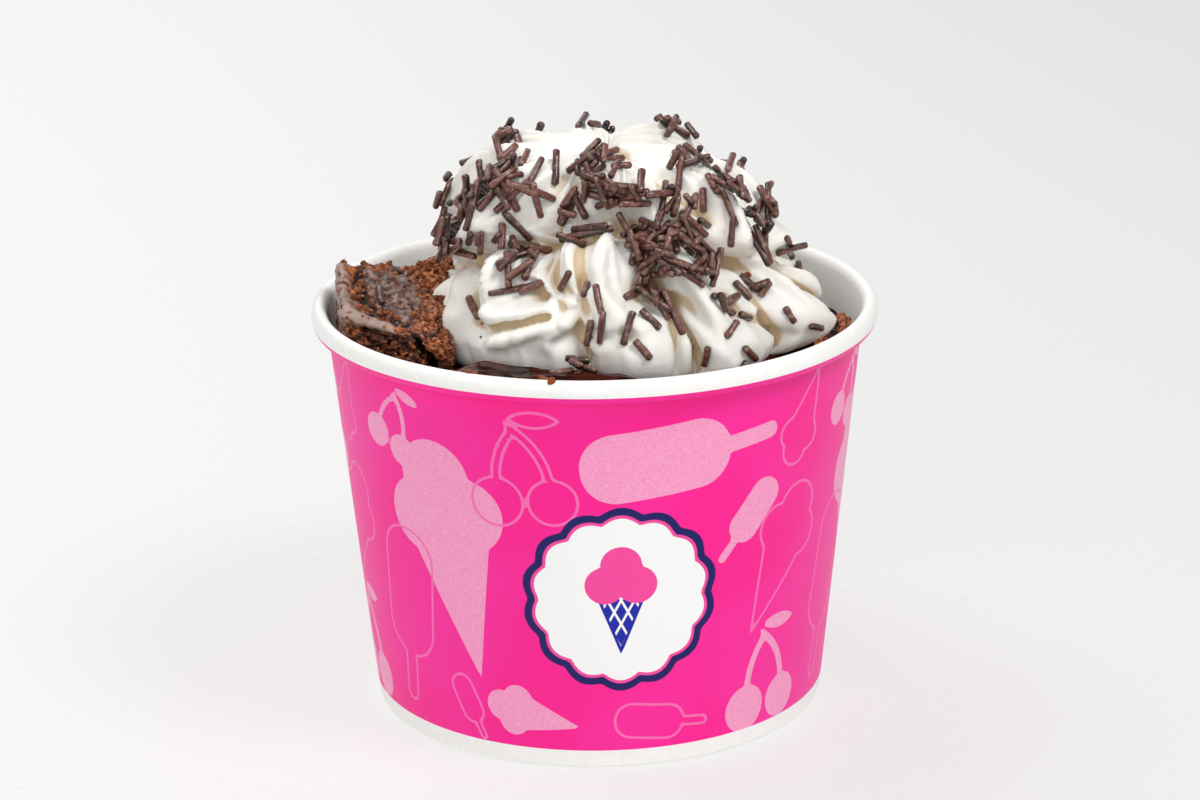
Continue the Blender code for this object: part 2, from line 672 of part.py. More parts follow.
def main():
    for old in list(bpy.data.objects):
        bpy.data.objects.remove(old)
    parts = collection(PARTS)
    tools = collection(CUTTERS)
    cup_wall(parts)
    cup_base(parts)
    fudge = hot_fudge(parts)
    blocks = (
        ("brownie_left", BROWNIE_LEFT, 0.0),
        ("brownie_tucked", BROWNIE_TUCKED, 5.3),
        ("brownie_right", BROWNIE_RIGHT, 10.6),
    )
    chunks = []
    cutters = []
    for name, block, seed in blocks:
        chunks.append(brownie(name, block, seed, parts))
        cutters.append(brownie_cutter(name + "_room", block, tools))
        cut(fudge, cutters[-1])
    left, tucked, _ = chunks
    cut(tucked, cutters[0])
    for piece in (tucked, fudge):
        settle(piece)
        largest_body(piece)
    trees = [tree_of(chunk.data) for chunk in chunks] + [tree_of(fudge.data)]
    whipped_cream(parts, cutters, trees)
    fudge_tree = tree_of(fudge.data)
    fuse(fudge, [fallen(fudge_tree, *place) for place in FUDGE_SPRINKLES])
    left_tree = tree_of(left.data)
    fuse(left, [fallen(left_tree, *BROWNIE_SPRINKLE)])
    for piece in parts.objects:
        piece.data.shade_smooth()
        piece.data.set_sharp_from_angle(angle=math.radians(35))


main()
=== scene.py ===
"""Looks for the brownie sundae: a paper cup of hot fudge with brownies, whipped cream and sprinkles.

The sections follow the sundae as it is put together: the cup, the fudge, the
brownies, the cream, the sprinkles and the crumbs, then the table, the light and
the camera. Sizes are in millimetres and angles in degrees round from the front,
+ towards +X.
"""

import math
import random

import bpy
import numpy as np
from mathutils import Matrix, Quaternion, Vector, noise
from mathutils.bvhtree import BVHTree


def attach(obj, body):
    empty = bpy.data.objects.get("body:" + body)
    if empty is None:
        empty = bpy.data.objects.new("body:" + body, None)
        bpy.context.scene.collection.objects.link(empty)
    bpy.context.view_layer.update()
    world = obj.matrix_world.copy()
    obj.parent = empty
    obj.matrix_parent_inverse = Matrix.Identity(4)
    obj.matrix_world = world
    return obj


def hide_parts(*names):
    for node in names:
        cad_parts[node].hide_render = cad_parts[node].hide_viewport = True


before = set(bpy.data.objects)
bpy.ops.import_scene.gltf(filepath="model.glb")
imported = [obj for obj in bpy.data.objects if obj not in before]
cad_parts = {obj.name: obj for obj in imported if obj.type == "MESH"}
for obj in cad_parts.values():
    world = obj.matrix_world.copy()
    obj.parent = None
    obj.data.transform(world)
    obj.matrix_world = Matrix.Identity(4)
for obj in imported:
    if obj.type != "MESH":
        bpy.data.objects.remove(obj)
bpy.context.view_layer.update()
bpy.ops.object.select_all(action="DESELECT")


# Cup wall
# One sheet of coated paperboard, printed flat, wrapped into a cone and lapped
# at the back. The top edge is curled outwards into a white roll and the bottom
# edge is folded in over the base, which leaves a white foot.
MM = 0.001
CUP_HEIGHT = 84.0
RIM_DIAMETER = 115.0
ROLL_WIDTH = 3.3
ROLL_HEIGHT = 4.7
PAPER = 0.45
FOOT_RADIUS = 46.05
FOOT_HEIGHT = 3.8
FOOT_TOP_INSIDE = 46.0
FOOT_ROUND = 0.7
HEM_WIDTH = 1.6
HEM_HEIGHT = 5.4
CUP_STEPS = 432
WALL_ROWS = 84
ROLL_ACROSS = RIM_DIAMETER / 2 - ROLL_WIDTH / 2
ROLL_MIDDLE = CUP_HEIGHT - ROLL_HEIGHT / 2
LEAVES_ROLL = -150
LAP_AT = 172.0
LAP_STEP = 0.3
LAP_FADE = 9.0
INSIDE_ROWS = (79, 76, 72, 60, 40, 20)

# The print: three white badges round the cup, with large pale motifs between
PRINT_RADIUS = 50.5
PRINT_REPEATS = 3
BADGE_MIDDLE = (4.5, 37.0)
BADGE_RADIUS = 18.6
BADGE_SCALLOPS = 14
BADGE_SCALLOP = 1.3
LINE_HALF_WIDTH = 0.27
WAFER_LEAN = 1.9
WAFER_SPACING = 2.6
# kind, along, up, turn and size; the first group is filled and the second outlined
FILLED_MOTIFS = (
    ("cone", -30.0, 42.0, 10, 3.0), ("lolly", 16.0, 66.5, 97, 2.35), ("cherries", 37.5, 15.5, 8, 1.9),
    ("lolly", 31.0, 50.5, -38, 1.15), ("cone", -14.0, 11.0, 78, 1.25), ("cherries", -43.5, 70.0, -14, 1.3),
)
OUTLINED_MOTIFS = (
    ("lolly", -44.5, 28.0, -7, 2.3), ("cone", 40.0, 39.5, -24, 1.9), ("lolly", 13.0, 9.6, 84, 1.2),
    ("cherries", -15.5, 64.5, 10, 1.9), ("cone", 44.5, 69.5, 160, 1.2), ("lolly", -29.0, 11.0, 24, 0.85),
)


def linear(hex_colour):
    """An sRGB hex colour as linear RGBA."""
    values = [int(hex_colour[i:i + 2], 16) / 255 for i in (1, 3, 5)]
    return [v / 12.92 if v <= 0.04045 else ((v + 0.055) / 1.055) ** 2.4 for v in values] + [1.0]


# each kind of node: the inputs that are given in order, the output that is used, and how it is set
NODE_KINDS = {
    "TexCoord": ((), "Object", {}),
    "Attribute": ((), "Fac", {}),
    "TexNoise": (("Vector", "Scale", "Detail", "Roughness"), 0, {}),
    "SeparateXYZ": ((0,), 0, {}),
    "Math": ((0, 1), 0, {}),
    "MapRange": ((0, 1, 2, 3, 4), 0, {"interpolation_type": "SMOOTHSTEP"}),
    "Mix": ((0, 6, 7), 2, {"data_type": "RGBA"}),
    "Bump": (("Height", "Distance", "Normal"), 0, {}),
}


def node(material, kind, *inputs, **settings):
    """Add a node with its settings, link or set its inputs in order, and give its output."""
    made = material.node_tree.nodes.new("ShaderNode" + kind)
    sockets, output, always = NODE_KINDS[kind]
    for name, value in {**always, **settings}.items():
        setattr(made, name, value)
    for socket, value in zip(sockets, inputs):
        if isinstance(value, bpy.types.NodeSocket):
            material.node_tree.links.new(value, made.inputs[socket])
        else:
            made.inputs[socket].default_value = value
    return made.outputs[output]


def finish_of(name, **settings):
    """A new material, with the settings of its shader that are the same all over."""
    material = bpy.data.materials.new(name)
    material.use_nodes = True
    shader = material.node_tree.nodes["Principled BSDF"]
    for socket, value in settings.items():
        shader.inputs[socket.replace("_", " ")].default_value = value
    return material


def join(material, source, socket):
    """Link a colour, value or relief to the material's shader."""
    material.node_tree.links.new(source, material.node_tree.nodes["Principled BSDF"].inputs[socket])


def inside_radius(z):
    """Inner radius of the cup's wall at height z."""
    top = RIM_DIAMETER / 2 - ROLL_WIDTH
    return FOOT_TOP_INSIDE + (z - FOOT_HEIGHT) * (top - FOOT_TOP_INSIDE) / (ROLL_MIDDLE - FOOT_HEIGHT)


def turned(name, section, steps):
    """Extrude one point along the section of (radius, height), then spin it round."""
    bpy.ops.mesh.primitive_circle_add(vertices=3, radius=0.001, location=(0, 0, 0))
    thing = bpy.context.object
    thing.name = name
    bpy.ops.object.mode_set(mode="EDIT")
    bpy.ops.mesh.merge(type="CENTER")
    at = (0.0, 0.0)
    for i, (radius, height) in enumerate(section):
        step = ((radius - at[0]) * MM, 0, (height - at[1]) * MM)
        if i == 0:
            bpy.ops.transform.translate(value=step)
        else:
            bpy.ops.mesh.extrude_region_move(TRANSFORM_OT_translate={"value": step})
        at = (radius, height)
    bpy.ops.mesh.select_all(action="SELECT")
    bpy.ops.mesh.spin(steps=steps, angle=2 * math.pi, center=(0, 0, 0), axis=(0, 0, 1))
    bpy.ops.mesh.select_all(action="SELECT")
    bpy.ops.mesh.remove_doubles(threshold=0.000002)
    bpy.ops.mesh.normals_make_consistent(inside=False)
    bpy.ops.object.mode_set(mode="OBJECT")
    bpy.ops.object.shade_smooth()
    bpy.ops.object.select_all(action="DESELECT")
    return thing


def of_vertices(thing, what):
    """The places ("co", in metres) or normals of a piece's vertices."""
    flat = np.empty(len(thing.data.vertices) * 3)
    thing.data.vertices.foreach_get(what, flat)
    return flat.reshape(-1, 3)


def points_of(thing):
    """The vertices of a piece in mm."""
    return of_vertices(thing, "co") / MM


def move_to(thing, points):
    thing.data.vertices.foreach_set("co", (points * MM).ravel())
    thing.data.update()


def keep_values(thing, **stored):
    """Store named values for each vertex, for the material to read."""
    for name, values in stored.items():
        layer = thing.data.attributes.new(name, "FLOAT", "POINT")
        layer.data.foreach_set("value", np.asarray(values, dtype=np.float32))


def disc(x, y, at_x, at_y, radius):
    return np.hypot(x - at_x, y - at_y) - radius


def bar(x, y, at_x, at_y, half_x, half_y, rounded):
    """Signed distance to an upright bar with rounded corners."""
    dx = np.abs(x - at_x) - half_x + rounded
    dy = np.abs(y - at_y) - half_y + rounded
    return np.hypot(np.maximum(dx, 0), np.maximum(dy, 0)) + np.minimum(np.maximum(dx, dy), 0) - rounded


def wafer(x, y, top, half, point):
    """Signed distance to a cone's wafer, top down to its point."""
    slope = math.hypot(top - point, half)
    side = (np.abs(x) * (top - point) - (y - point) * half) / slope
    return np.maximum(side, y - top)


def motif(kind, x, y):
    """Signed distance to a motif about 16 high, negative inside."""
    if kind == "cone":
        scoops = np.minimum(disc(x, y, -1.9, 3.4, 2.6), disc(x, y, 1.9, 3.4, 2.6))
        scoops = np.minimum(scoops, disc(x, y, 0, 6.0, 2.7))
        return np.minimum(scoops, wafer(x, y, 2.6, 3.5, -8.2))
    if kind == "lolly":
        return np.minimum(bar(x, y, 0, 2.0, 3.1, 6.2, 2.9), bar(x, y, 0, -6.2, 0.75, 2.6, 0.7))
    stems = np.abs(disc(x, y, 6.2, -2.2, 8.4)) - 0.42
    stems = np.maximum(stems, np.maximum(x - 0.9, -y - 1.4))
    other = np.abs(disc(x, y, -5.0, -1.6, 8.2)) - 0.42
    other = np.maximum(other, np.maximum(0.2 - x, -y - 1.8))
    fruit = np.minimum(disc(x, y, -2.6, -3.4, 2.7), disc(x, y, 3.1, -4.1, 2.5))
    leaf = np.maximum(disc(x, y, 2.4, 1.6, 4.4), disc(x, y, 3.6, 8.2, 4.0))
    return np.minimum(np.minimum(fruit, leaf), np.minimum(stems, other))


def nearest_motif(along, up, motifs):
    """Signed distance in mm to the nearest of the motifs in one repeat of the print."""
    repeat = 2 * math.pi * PRINT_RADIUS / PRINT_REPEATS
    nearest = np.full(along.shape, 9.0)
    for kind, s, h, turn, size in motifs:
        x = (along - s + repeat / 2) % repeat - repeat / 2
        y = up - h
        c = math.cos(math.radians(turn))
        t = math.sin(math.radians(turn))
        nearest = np.minimum(nearest, motif(kind, (x * c + y * t) / size, (y * c - x * t) / size) * size)
    return nearest


section = []
foot_side = FOOT_RADIUS - FOOT_ROUND
for i in range(9):
    k = math.radians(270 + 90 * i / 8)
    section.append((foot_side + FOOT_ROUND * math.cos(k), FOOT_ROUND + FOOT_ROUND * math.sin(k)))
section.append((FOOT_TOP_INSIDE + PAPER - 0.05, FOOT_HEIGHT - 0.3))
k = math.radians(LEAVES_ROLL)
roll_foot = (ROLL_ACROSS + ROLL_WIDTH / 2 * math.cos(k), ROLL_MIDDLE + ROLL_HEIGHT / 2 * math.sin(k))
for i in range(WALL_ROWS + 1):
    share = i / WALL_ROWS
    radius = FOOT_TOP_INSIDE + PAPER + (roll_foot[0] - FOOT_TOP_INSIDE - PAPER) * share
    section.append((radius, FOOT_HEIGHT + (roll_foot[1] - FOOT_HEIGHT) * share))
for i in range(1, 23):
    k = math.radians(LEAVES_ROLL + 15 * i)
    section.append((ROLL_ACROSS + ROLL_WIDTH / 2 * math.cos(k), ROLL_MIDDLE + ROLL_HEIGHT / 2 * math.sin(k)))
for height in INSIDE_ROWS + (HEM_HEIGHT,):
    section.append((inside_radius(height), height))
section.append((inside_radius(HEM_HEIGHT) - HEM_WIDTH + PAPER, HEM_HEIGHT))
section.append((FOOT_RADIUS - HEM_WIDTH, 0.3))
section.append((FOOT_RADIUS - HEM_WIDTH + 0.3, 0.0))
section.append(section[0])
cup = turned("printed_wall", section, CUP_STEPS)

points = points_of(cup)
around = np.degrees(np.arctan2(points[:, 0], -points[:, 1]))
radius = np.hypot(points[:, 0], points[:, 1])
outside = radius > inside_radius(points[:, 2]) + PAPER / 2
past_lap = (around - LAP_AT) % 360
lap = LAP_STEP * np.clip(1 - past_lap / LAP_FADE, 0, 1)
lap = lap * np.where(outside, 1, -0.6) * (points[:, 2] > 1)
points[:, :2] *= (1 + lap / np.maximum(radius, 1))[:, None]
points[:, :2] *= min(1, RIM_DIAMETER / 2 / np.abs(points[:, :2]).max())
move_to(cup, points)

along = np.radians(around) * PRINT_RADIUS
up = points[:, 2]
repeat = 2 * math.pi * PRINT_RADIUS / PRINT_REPEATS
badge_x = (along - BADGE_MIDDLE[0] + repeat / 2) % repeat - repeat / 2
badge_y = up - BADGE_MIDDLE[1]
scallop = BADGE_SCALLOP * np.abs(np.sin(np.arctan2(badge_y, badge_x) * BADGE_SCALLOPS / 2))
scoops = np.minimum(disc(badge_x, badge_y, -3.2, 3.2, 4.0), disc(badge_x, badge_y, 3.2, 3.2, 4.0))
keep_values(
    cup, badge_x=badge_x, badge_y=badge_y, badge=np.hypot(badge_x, badge_y) - BADGE_RADIUS - scallop,
    badge_scoops=np.minimum(scoops, disc(badge_x, badge_y, 0, 7.4, 4.1)),
    badge_wafer=wafer(badge_x, badge_y, 1.4, 5.2, -12.0),
    filled=nearest_motif(along, up, FILLED_MOTIFS), outlined=nearest_motif(along, up, OUTLINED_MOTIFS),
    printed=np.where(outside, np.minimum(up - FOOT_HEIGHT, roll_foot[1] + 0.4 - up), -1))

# Coated paperboard, printed in flat inks under a satin coating: soft broad
# reflections, the pale inks slightly speckled, the paper's fibres just felt.
paper = finish_of(
    "satin_coated_paperboard", Roughness=0.45, IOR=1.38, Coat_Weight=0.04, Coat_Roughness=0.25)
spot = node(paper, "TexCoord")
uneven = node(paper, "MapRange", node(paper, "TexNoise", spot, 1 / (26 * MM), 1.0), 0.35, 0.65)
ground = node(paper, "Mix", uneven, linear("#FF0A92"), linear("#FF1E9E"))
speckle = node(paper, "MapRange", node(paper, "TexNoise", spot, 1 / (0.35 * MM), 1.0), 0.3, 0.7)
pale = node(paper, "Mix", speckle, linear("#F98FC0"), linear("#FBAACD"))
inside = node(paper, "MapRange", node(paper, "Attribute", attribute_name="filled"), 0.08, -0.08)
ink = node(paper, "Mix", inside, ground, pale)
line = node(paper, "Math", node(paper, "Attribute", attribute_name="outlined"), operation="ABSOLUTE")
line = node(paper, "MapRange", line, LINE_HALF_WIDTH + 0.1, LINE_HALF_WIDTH - 0.1)
ink = node(paper, "Mix", line, ink, linear("#FC6FB6"))
# the badge's inks, each over the last: the shape, where its edge begins and ends, and the colour
for shape, begins, ends, colour in (
        ("badge", 0.08, -0.08, "#05055E"), ("badge", -1.55, -1.7, "#F8479F"),
        ("badge", -2.25, -2.4, "#FBFBF9"), ("badge_wafer", 0.07, -0.07, "#0A1CA4")):
    inside = node(paper, "MapRange", node(paper, "Attribute", attribute_name=shape), begins, ends)
    ink = node(paper, "Mix", inside, ink, linear(colour))
lattice = []
for lean in (WAFER_LEAN, -WAFER_LEAN):
    across = node(paper, "Attribute", attribute_name="badge_x")
    slant = node(paper, "Math", across, lean, operation="MULTIPLY")
    slant = node(paper, "Math", slant, node(paper, "Attribute", attribute_name="badge_y"), operation="ADD")
    wave = node(paper, "Math", slant, WAFER_SPACING, operation="PINGPONG")
    lattice.append(node(paper, "MapRange", wave, 0.62, 0.42))
crossed = node(paper, "Math", lattice[0], lattice[1], operation="MAXIMUM")
inside = node(paper, "MapRange", node(paper, "Attribute", attribute_name="badge_wafer"), -0.55, -0.7)
crossed = node(paper, "Math", crossed, inside, operation="MULTIPLY")
ink = node(paper, "Mix", crossed, ink, linear("#FBFBF9"))
inside = node(paper, "MapRange", node(paper, "Attribute", attribute_name="badge_scoops"), 0.07, -0.07)
ink = node(paper, "Mix", inside, ink, linear("#F8479F"))
cloudy = node(paper, "MapRange", node(paper, "TexNoise", spot, 1 / (1.2 * MM), 2.0), 0.3, 0.7)
white = node(paper, "Mix", cloudy, linear("#F7F6F2"), linear("#FCFBF8"))
printed = node(paper, "MapRange", node(paper, "Attribute", attribute_name="printed"), -0.05, 0.08)
join(paper, node(paper, "Mix", printed, white, ink), "Base Color")
fibres = node(paper, "Bump", node(paper, "TexNoise", spot, 1 / (0.5 * MM), 3.0), 0.012 * MM)
waves = node(paper, "TexNoise", spot, 1 / (9 * MM), 1.0)
join(paper, node(paper, "Bump", waves, 0.10 * MM, fibres), "Normal")
cup.data.materials.append(paper)
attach(cup, "root")
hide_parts("cup_wall")


# Cup base
# A flat disc of the same board, uncoated below, glued inside the foot. Only
# its underside can be seen, with the cup lifted.
board = finish_of("uncoated_paperboard", Roughness=0.7, IOR=1.5)
spot = node(board, "TexCoord")
cloudy = node(board, "MapRange", node(board, "TexNoise", spot, 1 / (3.0 * MM), 3.0), 0.3, 0.7)
join(board, node(board, "Mix", cloudy, linear("#EFEEE9"), linear("#F6F5F1")), "Base Color")
fibres = node(board, "TexNoise", spot, 1 / (0.5 * MM), 3.0)
join(board, node(board, "Bump", fibres, 0.02 * MM), "Normal")
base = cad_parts["cup_base"]
for place in base.material_slots:
    place.material = board


# Hot fudge
# Thick chocolate fudge poured over the ice cream and filled up to the wall. It
# is pushed up in glossy folds at the front, where the swirl presses on it.
FUDGE_LOW = 6.7
FUDGE_SEAT = 76.0
FUDGE_BACK = 73.4
FUDGE_FRONT = 82.6
FUDGE_FRONT_AT = -12.0
FUDGE_FRONT_FADE = (46, 14)
FUDGE_WET_FADE = (70, 45)
FUDGE_BANK = (40.5, 47)
FUDGE_FOLDS = 0.9
FUDGE_GRAIN = 0.22
FUDGE_MENISCUS = 0.5
FUDGE_RIPPLE = 0.35
CREAM_AXIS = (3.0, 1.0)
FUDGE_STEPS = 360
INTO_WALL = 0.2


def smooth(x, low, high):
    """0 below low, 1 above high, an easy curve between."""
    t = np.clip((x - low) / (high - low), 0, 1)
    return t * t * (3 - 2 * t)


def rough_field(points, seed, size, octaves=1):
    """Smooth noise, -1 to 1, with spots about size mm across."""
    values = np.zeros(len(points))
    for octave in range(octaves):
        scale = 2 ** octave / size
        shift = Vector((seed * 7.3, -seed * 3.1, seed * 1.7))
        layer = [noise.noise(Vector(p) * scale + shift) for p in points]
        values += np.array(layer) / 2 ** octave
    return values


def fudge_height(x, y):
    """The fudge's top at (x, y): flat under the cream, then up to the wall in folds."""
    from_cream = np.hypot(x - CREAM_AXIS[0], y - CREAM_AXIS[1])
    angle = np.degrees(np.arctan2(x, -y))
    frontness = smooth(np.abs(angle - FUDGE_FRONT_AT), *FUDGE_FRONT_FADE)
    edge = FUDGE_BACK + (FUDGE_FRONT - FUDGE_BACK) * frontness
    rise = smooth(from_cream, *FUDGE_BANK)
    ripple = FUDGE_RIPPLE * np.sin(from_cream * 0.9 + angle * 0.12) * rise * frontness
    return FUDGE_SEAT + (edge - FUDGE_SEAT) * rise + ripple


section = [(0, FUDGE_SEAT)] + [(r, FUDGE_SEAT) for r in np.linspace(8, 30, 6)]
section += [(r, FUDGE_SEAT) for r in np.linspace(31, inside_radius(FUDGE_FRONT) + INTO_WALL, 60)]
section += [(inside_radius(FUDGE_LOW) + INTO_WALL, FUDGE_LOW), (0, FUDGE_LOW)]
fudge = turned("poured_fudge", section, FUDGE_STEPS)
points = points_of(fudge)
top = points[:, 2] > FUDGE_SEAT - 1
radius = np.hypot(points[:, 0], points[:, 1])
angle = np.degrees(np.arctan2(points[:, 0], -points[:, 1]))
height = fudge_height(points[:, 0], points[:, 1])
shown = smooth(radius, 34, 42)
folds = np.stack([angle * 0.11, radius * 0.55, np.zeros(len(radius))], -1)
rough = FUDGE_FOLDS * rough_field(folds, 3, 1.6, 2) + FUDGE_GRAIN * rough_field(points, 5, 2.4, 2)
height = height + shown * rough
height = height + FUDGE_MENISCUS * smooth(radius, 50.5, 53.8) * (1 + rough_field(folds, 8, 1.1))
points[top, 2] = height[top]
edge = top & (radius > inside_radius(FUDGE_FRONT) - 1)
shrink = (inside_radius(points[:, 2]) + INTO_WALL) / (inside_radius(FUDGE_FRONT) + INTO_WALL)
points[edge, :2] *= shrink[edge][:, None]
move_to(fudge, points)
keep_values(fudge, wet=smooth(np.abs(angle - FUDGE_FRONT_AT), *FUDGE_WET_FADE))

# Cooling chocolate fudge: nearly black where it lies deep, red brown where it
# is thin, with a wet gloss and tight highlights on the folds.
syrup = finish_of(
    "wet_chocolate_fudge", IOR=1.36, Specular_IOR_Level=0.1, Coat_Roughness=0.08,
    Subsurface_Weight=0.06, Subsurface_Scale=0.001, Subsurface_Radius=(1.0, 0.35, 0.2))
spot = node(syrup, "TexCoord")
depth = node(syrup, "MapRange", node(syrup, "TexNoise", spot, 1 / (7.0 * MM), 3.0), 0.35, 0.65)
brown = node(syrup, "Mix", depth, linear("#170503"), linear("#46160B"))
brown = node(syrup, "Mix", node(syrup, "Attribute", attribute_name="thin"), brown, linear("#8C4528"))
join(syrup, brown, "Base Color")
wet = node(syrup, "Attribute", attribute_name="wet")
join(syrup, node(syrup, "MapRange", wet, 0, 1, 0.6, 0.16), "Roughness")
join(syrup, node(syrup, "MapRange", wet, 0, 1, 0.0, 0.09), "Coat Weight")
wrinkles = node(syrup, "TexNoise", spot, 1 / (1.6 * MM), 3.0)
join(syrup, node(syrup, "Bump", wrinkles, 0.18 * MM), "Normal")
fudge.data.materials.append(syrup)
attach(fudge, "root")
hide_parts("hot_fudge")


# Brownies
# Three torn pieces of baked chocolate brownie pushed into the fudge. Each has a
# thin shiny baked crust on top and a dark, open, moist crumb at its sides.
BROWNIE_ROUND = 2.6
# how deep in mm its surface is broken: crags, holes, grains and lumps of the open crumb,
# then the skin's sag and wrinkles and how high its lip stands
BROWNIE_CRAG = 1.1
BROWNIE_HOLES = 1.9
BROWNIE_GRAINS = 0.42
BROWNIE_LUMPS = 0.5
BROWNIE_SAG = 0.8
BROWNIE_WRINKLES = 0.34
BROWNIE_LIP = 1.2
BROWNIE_LIP_WIDTH = 1.7
# pits for each mm
WIDE_PITS = 0.42
FINE_PITS = 0.9
# the top's corners (x, y, z) in order round, and the bottom's height
BROWNIE_LEFT = (((-53.0, 6.0, 91.8), (-50.8, -17.8, 85.4), (-27.2, -29.0, 82.2), (-28.8, 6.4, 89.6)), 71.5)
BROWNIE_TUCKED = (((-36.0, 8.2, 89.6), (-27.0, 7.0, 90.2), (-24.5, 20.0, 88.0), (-36.0, 22.0, 86.5)), 72.5)
BROWNIE_RIGHT = (((43.6, 3.0, 79.6), (43.0, -16.5, 78.6), (50.2, -13.2, 79.2), (52.6, 1.0, 80.6)), 71.5)
# a groove of crumbs across the skin, and a crack down the left brownie's front
CRUMB_GROOVE = ((4.0, 1.0), (4.6, 13.0), (7.5, 19.0), (13.0, 21.5))
GROOVE_DEPTH = 0.9
GROOVE_WIDTH = 1.7
FRONT_CRACK = ((16.0, 0.5), (17.0, 4.0), (19.5, 8.0), (20.0, 14.0))
CRACK_DEPTH = 2.6
CRACK_WIDTH = 0.75


def nearest_line(x, y, points):
    """Distance in mm from each (x, y) to a line through the points."""
    nearest = np.full(x.shape, 1e9)
    for (x0, y0), (x1, y1) in zip(points, points[1:]):
        run = x1 - x0
        rise = y1 - y0
        share = np.clip(((x - x0) * run + (y - y0) * rise) / (run * run + rise * rise), 0, 1)
        nearest = np.minimum(nearest, np.hypot(x - x0 - share * run, y - y0 - share * rise))
    return nearest


def torn_brownie(name, block, seed, cuts, crumb_from):
    """A cube cut fine, rounded, fitted to its four top corners, and roughened as it was torn."""
    corners, bottom = block
    top = [np.array(c) for c in corners]
    size = np.array([np.linalg.norm(top[3] - top[0]), np.linalg.norm(top[1] - top[0]), top[0][2] - bottom])
    bpy.ops.mesh.primitive_cube_add(size=2, location=(0, 0, 0))
    piece = bpy.context.object
    piece.name = name
    bpy.ops.object.mode_set(mode="EDIT")
    bpy.ops.mesh.subdivide(number_cuts=cuts)
    bpy.ops.object.mode_set(mode="OBJECT")
    bpy.ops.object.shade_smooth()
    bpy.ops.object.select_all(action="DESELECT")
    point = of_vertices(piece, "co") * size / 2
    core = np.clip(point, -size / 2 + BROWNIE_ROUND, size / 2 - BROWNIE_ROUND)
    out = point - core
    out /= np.linalg.norm(out, axis=1)[:, None]
    point = core + out * BROWNIE_ROUND
    pit = 0.5 + 0.5 * rough_field(point + np.array([seed / WIDE_PITS, 0, 0]), 0, 1 / WIDE_PITS)
    pit = pit + 0.35 * rough_field(point + np.array([0, seed / FINE_PITS, 0]), 0, 1 / FINE_PITS)
    # places on the piece in mm: across from its left, along from its back, down from its top
    across = point[:, 0] + size[0] / 2
    along = size[1] / 2 - point[:, 1]
    down = size[2] / 2 - point[:, 2]
    upness = smooth(out[:, 2], 0.3, 0.75)
    torn_edge = crumb_from + 2.2 * rough_field(point, seed + 2, 6.0, 2)
    back_edge = 3.2 + 2.4 * rough_field(point, seed + 3, 4.0, 2)
    crust = upness * smooth(across, torn_edge + 1.2, torn_edge - 1.2)
    crust = crust * smooth(along, back_edge - 0.8, back_edge + 0.8)
    groove = np.exp(-(nearest_line(across, along, CRUMB_GROOVE) / GROOVE_WIDTH) ** 2) * upness
    crumbly = rough_field(point, seed + 5, 1.6, 2) + 1.3 * groove + 0.25 * smooth(across, 9, 16)
    crumbly = smooth(crumbly, 0.20, 0.52)
    if crumb_from > 0:
        crust = np.maximum(crust, smooth(-out[:, 0], 0.3, 0.7) * smooth(along, 0.5, 2.5))
    crust = crust * (1 - crumbly)
    lumps = rough_field(point, seed + 8, 4.5, 2)
    holes = np.maximum(0, rough_field(point, seed + 4, 1.7, 2) - 0.10)
    grains = rough_field(point, seed + 6, 0.9, 2)
    deep = BROWNIE_CRAG * np.maximum(0, pit) * (1 - 0.75 * crust)
    crumb = BROWNIE_HOLES * holes - BROWNIE_GRAINS * grains - BROWNIE_LUMPS * lumps
    deep = deep + (1 - crust) * crumb
    sag = np.sin(math.pi * np.clip(across / size[0], 0, 1)) * np.sin(math.pi * np.clip(along / size[1], 0, 1))
    lip = np.exp(-((across - 1.8) / BROWNIE_LIP_WIDTH) ** 2)
    lip = lip + np.exp(-((size[1] - along - 1.6) / BROWNIE_LIP_WIDTH) ** 2)
    lip = np.clip(lip, 0, 1) * upness * smooth(across, torn_edge + 2, torn_edge - 4) * smooth(along, 1, 7)
    lip = lip * np.clip(0.9 + 0.8 * rough_field(point, seed + 9, 5.0), 0.3, 1.3) * (crumb_from > 0)
    skin = BROWNIE_SAG * sag + BROWNIE_WRINKLES * rough_field(point, seed + 7, 2.4, 3)
    deep = deep + crust * skin - BROWNIE_LIP * lip + GROOVE_DEPTH * groove
    if crumb_from > 0:
        crack = np.exp(-(nearest_line(across, down, FRONT_CRACK) / CRACK_WIDTH) ** 2)
        deep = deep + CRACK_DEPTH * (crack * smooth(-out[:, 1], -0.1, 0.5))
    point = point - out * deep[:, None]
    u = (point[:, 0] / size[0] + 0.5)[:, None]
    v = (0.5 - point[:, 1] / size[1])[:, None]
    upper = (top[0] * (1 - v) + top[1] * v) * (1 - u) + (top[3] * (1 - v) + top[2] * v) * u
    w = point[:, 2] / size[2] + 0.5
    fitted = np.column_stack([upper[:, 0], upper[:, 1], bottom + (upper[:, 2] - bottom) * w])
    move_to(piece, fitted)
    # orange where torn, partly painted light: lighter near the top and on faces turned up, and painted shade
    # at the far right, under the cream
    warm = smooth(across, torn_edge - 1, torn_edge + 3) * smooth(across, size[0] - 0.5, size[0] - 3.5)
    warm = warm * smooth(down, 10, 4)
    warm = np.maximum(warm, groove) if crumb_from > 0 else smooth(down, 4, 2)
    warm = np.clip(warm + 0.25 * upness, 0, 1)
    keep_values(piece, crust=crust, pit=np.clip((deep - 0.35) / 1.7, 0, 1), lip=lip, warm=warm)
    return piece
